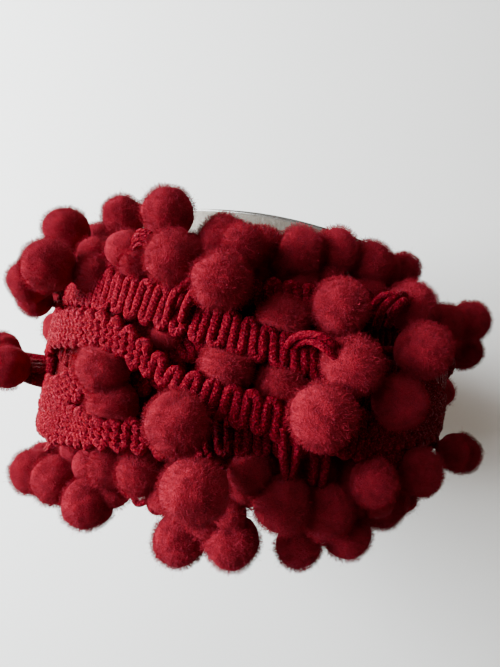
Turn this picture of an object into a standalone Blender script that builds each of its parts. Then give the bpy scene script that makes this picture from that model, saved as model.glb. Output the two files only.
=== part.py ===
"""Roll of pompom trim wound criss-cross round a tube core and lying on its side.

The roll's axis runs along Y. The origin is on the surface that the roll lies on, under the middle
of the winding. The core and the wound braid are one solid each. The pompoms of the outer turns are
grouped into clumps: each clump is a narrow strip that follows the wound form, with its pompoms
fused to it by their cords.
"""

import math

import bmesh
import bpy
import numpy as np

MM = 0.001
GAP = 0.35 * MM  # clearance between pieces that touch
MERGE_DISTANCE = 0.01 * MM
SHARP_ANGLE = 50  # degrees between faces that shade as an edge

# core tube
CORE_OUTER_RADIUS = 41.5 * MM
CORE_WALL = 2.6 * MM
CORE_LENGTH = 50.0 * MM
CORE_LOW_END = -18.0 * MM
CORE_SIDES = 64
CORE_CORNER = 0.4 * MM
AXIS_HEIGHT = 65.0 * MM

# wound braid
WIND_INNER_RADIUS = CORE_OUTER_RADIUS + GAP
WIND_COLUMNS = 92
WIND_ROWS = 23
BRAID_RISE = 3.0 * MM
BRAID_PACKING = 0.45  # share of the height below that a crossing turn presses flat
BRAID_FLAT = 2.4 * MM  # half of the braid's full-height width
BRAID_REACH = 4.4 * MM  # half of the braid's width where it meets the layer below
SHOULDER_POWER = 0.5
END_POWER = 0.75
LEAST_WINDING = 1.2 * MM

# the turns that show, from the inner one out; millimetres along Y at each 30 degrees round the
# core, from underneath, up the -X side, over the top and down the +X side
TURN_STEP = 30
TURNS = (
    #    -180 -150 -120  -90  -60  -30    0   30   60   90  120  150
    (-15.0, -9.0, 2.0, 9.0, 14.0, 10.0, 2.0, -3.0, 6.0, 14.0, 16.0, 12.0),
    (4.0, -4.0, 6.0, 13.0, 16.0, 15.5, 13.0, 17.0, 15.0, 8.0, -2.0, -10.0),
    (-14.0, -17.0, -18.0, -17.0, -17.0, -16.0, -13.0, -8.0, -5.0, 2.0, 9.0, 14.0),
    (15.0, 15.0, 10.0, 4.0, 6.0, 8.3, 4.0, 2.6, -2.5, -9.0, -14.0, -13.0),
    (-8.0, -4.0, -3.0, -4.0, -2.6, -1.0, -7.5, -14.0, -15.0, -8.0, 0.0, 6.0),
)
LAST_TURN_END = 9.0

# the wound form: degrees round the core, where it ends along Y and how deep its valleys are
LOW_END, HIGH_END, DEPTH = 1, 2, 3
WIND_FORM = (
    # angle, low end, high end, depth
    (-180, -19.0, 19.0, 8.4),
    (-120, -20.5, 18.5, 9.6),
    (-85, -22.0, 19.0, 11.0),
    (-60, -22.5, 20.0, 11.0),
    (-30, -22.0, 20.5, 9.4),
    (0, -18.0, 17.5, 8.4),
    (30, -13.5, 18.5, 8.2),
    (60, -15.5, 20.0, 8.0),
    (120, -19.0, 18.5, 8.4),
)

# pompoms
BALL_SIDES = 8
BALL_RINGS = (42, 88, 134)  # degrees from the cord
BALL_APART = 0.5 * MM
BALL_TO_WINDING = 2.6 * MM
FLOOR_BALL_HEIGHT = 4.3 * MM
FLOOR_FLAT_REACH = 1.1 * MM
CORD_RADIUS = 0.8 * MM
CORD_MEETS_BALL = 14  # degrees from the cord's own line
STRIP_WIDTH = 1.8 * MM
STRIP_THICKNESS = 0.9 * MM
STRIP_STEP = 3.4 * MM
ROOT_HALF_LENGTH = 0.8 * MM
FOOTPRINT_LENGTH = 2.6 * MM  # half of the stretch that a station has to clear
ROOT_FOOTPRINT_LENGTH = 1.8 * MM
FOOTPRINT_WIDTH = 1.7 * MM
FOOTPRINT_HEIGHT = 12.0 * MM  # what stands higher than this isn't under the station
FINE_STEPS = 4  # samples of the wound form between its grid's points
SETTLE_PASSES = 60

# the clumps on the upper half: name, pompom radius, then for each pompom its degrees round the
# core from the top towards +X, millimetres along Y and millimetres from the core's axis
CLUMPS = (
    ("rim_far_left", 4.3, ((-86, 23.5, 48), (-72, 25, 48), (-58, 22.5, 57))),
    ("rim_left", 4.6, ((-50, 28.3, 47.3), (-24.5, 25.7, 54))),
    ("rim_middle", 3.7, ((-12.5, 23.5, 47.5), (-3.7, 23, 47.3), (5.3, 23.6, 48.6))),
    ("rim_right", 3.8, ((13.9, 25.8, 47.6), (24.5, 25.8, 47.2), (37, 27.5, 47))),
    ("rim_far_right", 4.5, ((57.5, 19.5, 51), (68, 22.5, 55.5))),
    ("side_right", 4.8, ((80, 16.5, 56.5), (98, 5.5, 57.5))),
    ("side_far_left", 4.8, ((-92, 13, 58.5), (-97, 1, 58.5), (-101, -12, 58))),
    ("upper_far_left", 4.9, ((-46.7, 11.8, 61.7), (-66.7, 9.9, 61.3), (-76, 6.5, 60))),
    ("upper_left", 4.0, ((-42, 12, 55), (-28.4, 14, 55))),
    ("upper_middle", 4.9, ((-17.2, 15.3, 60.5), (-7.8, 12.8, 61.5), (-6.7, 20, 55.8))),
    ("upper_near_right", 4.6, ((3.7, 8.2, 56), (12.7, 12, 59.3))),
    ("upper_right", 5.0, ((32.3, 18, 54), (30, 8.3, 60.5))),
    ("side_left", 5.0, ((-71.7, -11.7, 62), (-86, -8.8, 68.5))),
    ("middle_left", 4.5, ((-28.5, -6.8, 57.5), (-24.5, -12.6, 56.5))),
    ("middle_near", 4.4, ((-5, -1.7, 56), (5.5, -3, 55.3))),
    ("middle_right", 5.2, ((15.5, 3.2, 60.3), (28, -1, 59.3))),
    ("lower_near", 5.4, ((-10, -12.6, 61.5), (12, -5.8, 62.7))),
    ("lower_right", 4.5, ((59, -9.7, 56.7), (76, -10.3, 59))),
    ("edge_far_left", 4.9, ((-82, -34.8, 49), (-57.3, -33, 51.5))),
    ("edge_left", 4.9, ((-46.8, -32, 49.7), (-34, -33.4, 48.2))),
    ("edge_inner_left", 4.1, ((-29.5, -25.7, 49), (-19.3, -24.5, 51))),
    ("edge_near_left", 5.2, ((-10.2, -37, 42), (-5, -22.6, 62.5))),
    ("edge_near", 5.0, ((3.4, -33.8, 46), (11.3, -24, 52.2), (22, -24.5, 50))),
    ("edge_near_right", 4.5, ((22.4, -33.8, 43.2), (34.5, -30, 46))),
    ("edge_right", 4.6, ((29, -17.3, 55.2), (43, -14.2, 55.5))),
    ("edge_far_right", 4.4, ((46.7, -24.6, 47), (61, -17, 50), (84, -19.5, 52))),
)

# the clumps of the lower half, which follow even rings: name, pompom radius, millimetres along Y
# and from the axis, degrees of the first pompom, step, and pompoms in each clump
RINGS = (
    ("under_rim", 4.7, 25.0, 50.0, 104, 21.0, (3, 3, 2)),
    ("under_upper", 4.9, 11.0, 59.0, 106, 22.0, (2, 3, 2)),
    ("under_middle", 4.9, -1.0, 59.0, 117, 21.0, (2, 3, 2)),
    ("under_lower", 4.9, -13.0, 59.0, 108, 22.0, (2, 3, 2)),
    ("under_edge", 4.9, -27.0, 52.0, 106, 21.0, (3, 3, 2)),
)
RING_SWAY = 2.5 * MM  # how far the even rings wander along Y
SWAY_WAVES = 5  # waves of that wandering in each turn
SWAY_SHIFT = 7  # degrees that the waves move for each millimetre along Y
FLOOR_ARC = 34  # degrees either side of the lowest line in which pompoms touch the surface
FLOOR_RING_OUT = 55.0  # rings further out than this reach the surface, in millimetres

# piece: colour and roughness
FINISHES = {
    "core": ((0.55, 0.50, 0.44), 0.6),
    "winding": ((0.20, 0.004, 0.014), 0.9),
    "pompoms": ((0.24, 0.006, 0.018), 1.0),
}


def clear_scene():
    """Remove every object that the file starts with."""
    for old in list(bpy.data.objects):
        bpy.data.objects.remove(old, do_unlink=True)


def make_material(name, finish):
    """A material of the piece's own, in one of the plain finishes."""
    colour, roughness = FINISHES[finish]
    material = bpy.data.materials.new(name)
    material.use_nodes = True
    shader = material.node_tree.nodes["Principled BSDF"]
    shader.inputs["Base Color"].default_value = (*colour, 1.0)
    shader.inputs["Roughness"].default_value = roughness
    shader.inputs["Metallic"].default_value = 0.0
    return material


def add_object(name, mesh_data, material):
    """Put a finished bmesh into the scene as a named object."""
    bmesh.ops.recalc_face_normals(mesh_data, faces=mesh_data.faces)
    mesh = bpy.data.meshes.new(name)
    mesh_data.to_mesh(mesh)
    mesh_data.free()
    mesh.materials.append(material)
    mesh.shade_smooth()
    mesh.set_sharp_from_angle(angle=math.radians(SHARP_ANGLE))
    piece = bpy.data.objects.new(name, mesh)
    bpy.context.scene.collection.objects.link(piece)
    return piece


def round_core(angle, along, radius):
    """World point at an angle from the top, a place along Y and a distance from the axis."""
    return np.array((radius * math.sin(angle), along, AXIS_HEIGHT + radius * math.cos(angle)))


def smooth_step(value):
    """Ease from 0 to 1 as the value goes from 0 to 1."""
    held = min(max(value, 0.0), 1.0)
    return held * held * (3.0 - 2.0 * held)


def curve_through(values, place):
    """Smooth curve through evenly spaced values, read at a place counted in steps."""
    step = min(max(int(math.floor(place)), 0), len(values) - 2)
    part = place - step
    before = values[max(step - 1, 0)]
    start, end = values[step], values[step + 1]
    after = values[min(step + 2, len(values) - 1)]
    bend = 2 * before - 5 * start + 4 * end - after
    twist = 3 * (start - end) + after - before
    return start + 0.5 * part * (end - before + part * (bend + part * twist))


def braid_route():
    """The braid's place along Y at each step of its whole route, in metres."""
    places = [along * MM for turn in TURNS for along in turn]
    return places + [LAST_TURN_END * MM]


def wind_form(angle_deg, column):
    """The wound form's LOW_END, HIGH_END or DEPTH at this angle, in metres."""
    turned = (angle_deg + 180.0) % 360.0 - 180.0
    rows = WIND_FORM + ((WIND_FORM[0][0] + 360, *WIND_FORM[0][1:]),)
    for first, second in zip(rows, rows[1:]):
        if first[0] <= turned < second[0]:
            share = smooth_step((turned - first[0]) / (second[0] - first[0]))
            return (first[column] + share * (second[column] - first[column])) * MM
    return rows[-1][column] * MM


def braid_height(angle_deg, along, route):
    """How far the crossing turns stand above the valleys between them."""
    steps = (angle_deg + 180.0) % 360.0 / TURN_STEP
    per_turn = 360 // TURN_STEP
    height = 0.0
    for turn in range(len(TURNS)):
        off = abs(along - curve_through(route, turn * per_turn + steps))
        rise = smooth_step((BRAID_REACH - off) / (BRAID_REACH - BRAID_FLAT))
        height += rise * (BRAID_RISE - BRAID_PACKING * height)
    return height


def winding_grid(balls):
    """Points of the wound form's outside, by column round the core and row along it.

    Rows run from the core at the low end, over the outside, to the core at the high end. Each
    pompom has pressed a pocket into the form.
    """
    route = braid_route()
    grid = np.zeros((WIND_COLUMNS, WIND_ROWS, 3))
    for column in range(WIND_COLUMNS):
        angle_deg = 360.0 * column / WIND_COLUMNS - 180.0
        low, high = wind_form(angle_deg, LOW_END), wind_form(angle_deg, HIGH_END)
        for row in range(WIND_ROWS):
            sweep = math.pi * row / (WIND_ROWS - 1)
            across = -math.copysign(abs(math.cos(sweep)) ** END_POWER, math.cos(sweep))
            along = (low + high) / 2 + across * (high - low) / 2
            depth = wind_form(angle_deg, DEPTH) + braid_height(angle_deg, along, route)
            depth = max(depth * max(math.sin(sweep), 0.0) ** SHOULDER_POWER, LEAST_WINDING)
            radius = WIND_INNER_RADIUS + depth
            radius = pocket_radius(math.radians(angle_deg), along, radius, balls)
            grid[column, row] = round_core(math.radians(angle_deg), along, radius)
    return grid


def pocket_radius(angle, along, radius, balls):
    """Lower the form's radius at one place to clear each pompom that presses on it."""
    outward = round_core(angle, 0.0, 1.0) - round_core(angle, 0.0, 0.0)
    foot = round_core(angle, along, 0.0)
    for middle, ball_radius, _ in balls:
        reach = ball_radius + BALL_TO_WINDING
        height = float((middle - foot) @ outward)
        aside = float(np.linalg.norm(middle - foot - outward * height))
        if aside < reach and height > 0.0:
            radius = min(radius, height - math.sqrt(reach**2 - aside**2))
    return max(radius, WIND_INNER_RADIUS + LEAST_WINDING)


def floor_distance(angle_deg):
    """Distance from the axis of a pompom that lies on the surface at this angle, or None."""
    off = abs((angle_deg % 360.0) - 180.0)
    if off > FLOOR_ARC:
        return None
    return (AXIS_HEIGHT - FLOOR_BALL_HEIGHT) / math.cos(math.radians(off))


def list_clumps():
    """Every clump as a name, a pompom radius and rows of angle, along and distance, in metres."""
    clumps = [
        (name, size * MM, [(angle, along * MM, out * MM) for angle, along, out in rows])
        for name, size, rows in CLUMPS
    ]
    for name, size, along, out, angle, step, counts in RINGS:
        for number, count in enumerate(counts, 1):
            rows = []
            for _ in range(count):
                sway = RING_SWAY * math.sin(math.radians(SWAY_WAVES * angle + SWAY_SHIFT * along))
                place = floor_distance(angle) if out > FLOOR_RING_OUT else None
                rows.append((angle, along * MM + sway, place or out * MM))
                angle += step
            clumps.append((f"{name}_{number}", size * MM, rows))
    return clumps


def settle_balls(clumps):
    """Push the pompoms apart, off the core and off the surface, and return them in order."""
    middles, sizes, owners = [], [], []
    for owner, (_, size, rows) in enumerate(clumps):
        for angle, along, out in rows:
            middles.append(round_core(math.radians(angle), along, out))
            sizes.append(size)
            owners.append(owner)
    middles, sizes = np.array(middles), np.array(sizes)
    core_high = CORE_LOW_END + CORE_LENGTH
    for _ in range(SETTLE_PASSES):
        away = middles[:, None] - middles[None]
        distance = np.linalg.norm(away, axis=2) + np.eye(len(sizes))
        short = np.maximum(sizes[:, None] + sizes[None] + BALL_APART - distance, 0.0)
        np.fill_diagonal(short, 0.0)
        middles = middles + 0.5 * (away / distance[..., None] * short[..., None]).sum(axis=1)
        for index, size in enumerate(sizes):
            x, along, z = middles[index]
            out = math.hypot(x, z - AXIS_HEIGHT)
            least = WIND_INNER_RADIUS + LEAST_WINDING + BALL_TO_WINDING + size
            low, high = CORE_LOW_END - size - GAP, wind_form(0.0, HIGH_END)
            if along > high:
                least = CORE_OUTER_RADIUS + GAP + size
            if low < along < core_high + size and out < least:
                angle = math.atan2(x, z - AXIS_HEIGHT)
                middles[index] = round_core(angle, along, least)
            middles[index][2] = max(middles[index][2], FLOOR_BALL_HEIGHT)
    return list(zip(middles, sizes, owners))


def make_core(material):
    """The tube, with slightly rounded rims."""
    inner = CORE_OUTER_RADIUS - CORE_WALL
    low, high = CORE_LOW_END, CORE_LOW_END + CORE_LENGTH
    corner = CORE_CORNER
    profile = (
        (inner, low),
        (CORE_OUTER_RADIUS - corner, low),
        (CORE_OUTER_RADIUS, low + corner),
        (CORE_OUTER_RADIUS, high - corner),
        (CORE_OUTER_RADIUS - corner, high),
        (inner, high),
    )
    mesh = bmesh.new()
    ring = [mesh.verts.new(round_core(0.0, along, radius)) for radius, along in profile]
    edges = [mesh.edges.new((ring[i], ring[(i + 1) % len(ring)])) for i in range(len(ring))]
    bmesh.ops.spin(
        mesh,
        geom=ring + edges,
        cent=(0.0, 0.0, AXIS_HEIGHT),
        axis=(0.0, 1.0, 0.0),
        angle=math.tau,
        steps=CORE_SIDES,
        use_merge=True,
    )
    bmesh.ops.remove_doubles(mesh, verts=mesh.verts, dist=MERGE_DISTANCE)
    return add_object("core", mesh, material)


def make_winding(grid, material):
    """The wound form: the grid outside, closed by a sleeve that fits the core."""
    mesh = bmesh.new()
    columns = []
    for column in range(WIND_COLUMNS):
        angle = math.radians(360.0 * column / WIND_COLUMNS - 180.0)
        rows = [mesh.verts.new(point) for point in grid[column]]
        for row in (-1, 0):
            along = grid[column, row][1]
            rows.append(mesh.verts.new(round_core(angle, along, WIND_INNER_RADIUS)))
        columns.append(rows)
    for index, rows in enumerate(columns):
        others = columns[(index + 1) % WIND_COLUMNS]
        for row in range(len(rows)):
            after = (row + 1) % len(rows)
            mesh.faces.new((rows[row], rows[after], others[after], others[row]))
    bmesh.ops.triangulate(mesh, faces=mesh.faces)
    return add_object("winding", mesh, material)


def grid_normals(grid):
    """Outward direction at each point of the wound form."""
    round_way = np.roll(grid, -1, axis=0) - np.roll(grid, 1, axis=0)
    along_way = np.gradient(grid, axis=1)
    normals = np.cross(along_way, round_way)
    normals /= np.linalg.norm(normals, axis=2)[..., None]
    outward = grid - np.array((0.0, 0.0, AXIS_HEIGHT))
    outward[..., 1] = 0.0
    if (normals * outward).sum() < 0:
        normals = -normals
    return normals


def read_grid(values, column, row):
    """Value between the grid's points, wrapping round the core."""
    first, low = int(math.floor(column)), min(int(math.floor(row)), WIND_ROWS - 2)
    share, rest = column - first, row - low
    first, second = first % WIND_COLUMNS, (first + 1) % WIND_COLUMNS
    here = values[first, low] * (1 - share) + values[second, low] * share
    there = values[first, low + 1] * (1 - share) + values[second, low + 1] * share
    return here * (1 - rest) + there * rest


def root_place(middle, grid):
    """Column and row of the wound form's point nearest to a pompom."""
    distance = np.linalg.norm(grid - middle, axis=2)
    return np.unravel_index(int(distance.argmin()), distance.shape)


def fine_points(grid):
    """Points spread evenly over the wound form's facets."""
    shares = np.arange(FINE_STEPS) / FINE_STEPS
    others = np.roll(grid, -1, axis=0)
    points = []
    for round_share in shares:
        column = grid * (1 - round_share) + others * round_share
        for row_share in shares:
            points.append(column[:, :-1] * (1 - row_share) + column[:, 1:] * row_share)
    return np.concatenate([part.reshape(-1, 3) for part in points])


def lift_off(point, outward, run, reach, surface):
    """How far a strip stands off the point so that its footprint clears the form."""
    away = surface - point
    height = away @ outward
    ahead = np.abs(away @ run)
    aside = np.abs(away @ np.cross(outward, run))
    near = (ahead < reach) & (aside < FOOTPRINT_WIDTH) & (height < FOOTPRINT_HEIGHT)
    return max(float(height[near].max(initial=0.0)), 0.0) + GAP


def run_directions(points, outwards):
    """Direction of the strip at each station, square to the way out."""
    runs = []
    for index, outward in enumerate(outwards):
        before, after = points[max(index - 1, 0)], points[min(index + 1, len(points) - 1)]
        run = after - before
        run = run - outward * (run @ outward)
        runs.append(run / np.linalg.norm(run))
    return runs


def strip_stations(balls, grid, normals, surface):
    """Stations along a clump's strip: centre, outward direction, run and pompom or None."""
    roots = []
    for middle, size, _ in balls:
        column, row = root_place(middle, grid)
        outward = middle - grid[column, row]
        roots.append((column, row, outward / np.linalg.norm(outward), (middle, size)))
    points, outwards, held = [], [], []
    for index, (column, row, outward, ball) in enumerate(roots):
        points.append(grid[column, row])
        outwards.append(outward)
        held.append(ball)
        if index + 1 == len(roots):
            break
        next_column, next_row = roots[index + 1][:2]
        turn = (next_column - column + WIND_COLUMNS // 2) % WIND_COLUMNS - WIND_COLUMNS // 2
        far = np.linalg.norm(grid[next_column, next_row] - grid[column, row])
        count = max(int(round(far / STRIP_STEP)), 1)
        for step in range(1, count):
            share = step / count
            place = (column + turn * share, row + (next_row - row) * share)
            normal = read_grid(normals, *place)
            points.append(read_grid(grid, *place))
            outwards.append(normal / np.linalg.norm(normal))
            held.append(None)
    centres = []
    for point, outward, run, ball in zip(points, outwards, run_directions(points, outwards), held):
        reach = ROOT_FOOTPRINT_LENGTH if ball else FOOTPRINT_LENGTH
        rise = lift_off(point, outward, run, reach, surface) + STRIP_THICKNESS / 2
        centres.append(point + outward * rise)
    return list(zip(centres, outwards, run_directions(centres, outwards), held))


def strip_section(mesh, centre, outward, run):
    """Four corners of the strip's section: inner pair, then outer pair."""
    side = np.cross(outward, run)
    side /= np.linalg.norm(side)
    half, rise = side * STRIP_WIDTH / 2, outward * STRIP_THICKNESS / 2
    corners = (centre - half - rise, centre + half - rise, centre + half + rise, centre - half + rise)
    return [mesh.verts.new(corner) for corner in corners]


def ring_round(mesh, middle, axis, across, radius, count, turn):
    """A ring of points round an axis."""
    other = np.cross(axis, across)
    points = []
    for number in range(count):
        angle = turn + math.tau * number / count
        point = middle + radius * (across * math.cos(angle) + other * math.sin(angle))
        points.append(mesh.verts.new(point))
    return points


def add_ball(mesh, opening, root, run, ball):
    """A pompom and its four-sided cord, grown from an opening in the strip's outer side."""
    middle, size = ball
    axis = (root - middle) / np.linalg.norm(root - middle)
    across = run - axis * (run @ axis)
    across /= np.linalg.norm(across)
    quarter = math.pi / 4
    flip = -axis
    meet = math.radians(CORD_MEETS_BALL)
    neck_middle = middle + axis * size * math.cos(meet)
    neck = ring_round(mesh, neck_middle, flip, across, CORD_RADIUS, 4, quarter)
    for index in range(4):
        after = (index + 1) % 4
        mesh.faces.new((opening[index], opening[after], neck[after], neck[index]))
    rings = []
    for degrees in BALL_RINGS:
        tilt = math.radians(degrees)
        centre = middle + axis * size * math.cos(tilt)
        radius = size * math.sin(tilt)
        rings.append(ring_round(mesh, centre, flip, across, radius, BALL_SIDES, quarter))
    for index in range(4):
        after = (index + 1) % 4
        first, second = rings[0][2 * index], rings[0][2 * index + 1]
        third = rings[0][(2 * index + 2) % BALL_SIDES]
        mesh.faces.new((neck[index], second, first))
        mesh.faces.new((neck[index], neck[after], second))
        mesh.faces.new((neck[after], third, second))
    for upper, lower in zip(rings, rings[1:]):
        for index in range(BALL_SIDES):
            after = (index + 1) % BALL_SIDES
            mesh.faces.new((upper[index], upper[after], lower[after], lower[index]))
    pole = mesh.verts.new(middle - axis * size)
    for index in range(BALL_SIDES):
        mesh.faces.new((rings[-1][index], rings[-1][(index + 1) % BALL_SIDES], pole))
    if middle[2] < FLOOR_BALL_HEIGHT + FLOOR_FLAT_REACH:
        for vert in [pole] + [vert for ring in rings for vert in ring]:
            if vert.co.z < FLOOR_FLAT_REACH:
                vert.co.z = 0.0


def make_clump(name, stations, material):
    """One narrow strip with its pompoms."""
    mesh = bmesh.new()
    sections, roots = [], []
    for centre, outward, run, ball in stations:
        if ball is None:
            sections.append(strip_section(mesh, centre, outward, run))
            continue
        before = strip_section(mesh, centre - run * ROOT_HALF_LENGTH, outward, run)
        after = strip_section(mesh, centre + run * ROOT_HALF_LENGTH, outward, run)
        roots.append((len(sections), centre, outward, run, ball))
        sections += [before, after]
    open_spans = {index for index, *_ in roots}
    for index, (here, there) in enumerate(zip(sections, sections[1:])):
        for corner in range(4):
            if corner == 2 and index in open_spans:
                continue
            after = (corner + 1) % 4
            mesh.faces.new((here[corner], here[after], there[after], there[corner]))
    mesh.faces.new(sections[0])
    mesh.faces.new(sections[-1])
    for index, centre, outward, run, ball in roots:
        here, there = sections[index], sections[index + 1]
        opening = [there[3], here[3], here[2], there[2]]
        side = np.cross(outward, run)
        corner = np.array(there[3].co) - centre
        if corner @ side < 0:
            opening = [there[2], here[2], here[3], there[3]]
        add_ball(mesh, opening, centre, run, ball)
    return add_object(name, mesh, material)


def main():
    """Build the core, the winding and every clump of pompoms."""
    clear_scene()
    clumps = list_clumps()
    balls = settle_balls(clumps)
    grid = winding_grid(balls)
    normals, surface = grid_normals(grid), fine_points(grid)
    make_core(make_material("core", "core"))
    make_winding(grid, make_material("winding", "winding"))
    for owner, (name, _, _) in enumerate(clumps):
        own = [ball for ball in balls if ball[2] == owner]
        material = make_material(name, "pompoms")
        stations = strip_stations(own, grid, normals, surface)
        make_clump(f"pompoms_{name}", stations, material)


main()
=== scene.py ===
"""Dresses a roll of pompom trim: its braid, pompoms, cord loops and core tube.

Every piece is in metres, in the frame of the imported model: the roll's axis runs along Y, the
origin is on the surface that the roll lies on, and angles are degrees round the core from its top
towards +X. The wound form carries two layers of braid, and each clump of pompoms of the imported
model is replaced by pompoms with a cut pile.
"""

import logging
import math
from dataclasses import dataclass, field, replace
from enum import Enum

import bmesh
import bpy
import numpy as np
from mathutils import Matrix, Vector, noise

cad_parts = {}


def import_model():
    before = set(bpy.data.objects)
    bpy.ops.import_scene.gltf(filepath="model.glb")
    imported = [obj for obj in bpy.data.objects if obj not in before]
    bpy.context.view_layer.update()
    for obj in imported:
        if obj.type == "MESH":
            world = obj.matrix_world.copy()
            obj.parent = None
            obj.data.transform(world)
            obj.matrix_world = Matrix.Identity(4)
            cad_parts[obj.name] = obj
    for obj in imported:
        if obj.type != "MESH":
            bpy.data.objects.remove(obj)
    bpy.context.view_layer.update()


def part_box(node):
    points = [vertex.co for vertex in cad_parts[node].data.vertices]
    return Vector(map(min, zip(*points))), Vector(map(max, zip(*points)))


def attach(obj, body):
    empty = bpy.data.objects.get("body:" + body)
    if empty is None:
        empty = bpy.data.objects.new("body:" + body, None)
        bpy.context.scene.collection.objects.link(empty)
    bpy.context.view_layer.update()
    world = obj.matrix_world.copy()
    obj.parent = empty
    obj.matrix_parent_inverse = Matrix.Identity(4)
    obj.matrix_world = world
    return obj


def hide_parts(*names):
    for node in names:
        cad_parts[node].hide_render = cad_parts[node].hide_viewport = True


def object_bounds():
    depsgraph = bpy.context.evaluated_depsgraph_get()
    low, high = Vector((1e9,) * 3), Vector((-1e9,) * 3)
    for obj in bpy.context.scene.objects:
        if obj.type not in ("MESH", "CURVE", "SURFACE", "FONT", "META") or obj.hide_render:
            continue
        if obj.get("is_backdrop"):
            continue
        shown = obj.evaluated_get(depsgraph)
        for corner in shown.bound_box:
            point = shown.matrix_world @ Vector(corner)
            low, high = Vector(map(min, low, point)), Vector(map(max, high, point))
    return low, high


logging.basicConfig(level=logging.INFO, format="%(name)s: %(message)s")
LOG = logging.getLogger("pompom_roll")

MM = 0.001
TINY = 1e-12  # the least that anything is divided by
MERGE_DISTANCE = 0.001 * MM
CORE_GAP = 0.35 * MM  # between the core and what is wound on it
LEAST_WINDING = 1.2 * MM  # the wound form's depth at its two ends
# each fibre's random tone, with painted shade at its root and painted light at its tip
TONE_AND_TIP_LIGHT = "tone_and_tip_light"  # the attribute that tells the pile's finish how bright a fibre is
SEED = 20

Point = tuple[float, float, float]
Colour = tuple[float, float, float]
Socket = bpy.types.NodeSocket
Value = Socket | float

# the turns that show, from the inner one out; millimetres along Y at each 30 degrees round the
# core, from underneath, up the -X side, over the top and down the +X side
TURN_STEP = 30
TURNS = (
    #    -180 -150 -120  -90  -60  -30    0   30   60   90  120  150
    (-15.0, -9.0, 2.0, 9.0, 14.0, 10.0, 2.0, -3.0, 6.0, 14.0, 16.0, 12.0),
    (4.0, -4.0, 6.0, 13.0, 16.0, 15.5, 13.0, 17.0, 15.0, 8.0, -2.0, -10.0),
    (-14.0, -17.0, -18.0, -17.0, -17.0, -16.0, -13.0, -8.0, -5.0, 2.0, 9.0, 14.0),
    (15.0, 15.0, 10.0, 4.0, 6.0, 8.3, 4.0, 2.6, -2.5, -9.0, -14.0, -13.0),
    (-8.0, -4.0, -3.0, -4.0, -2.6, -1.0, -7.5, -14.0, -15.0, -8.0, 0.0, 6.0),
)
LAST_TURN_END = 9.0

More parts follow.
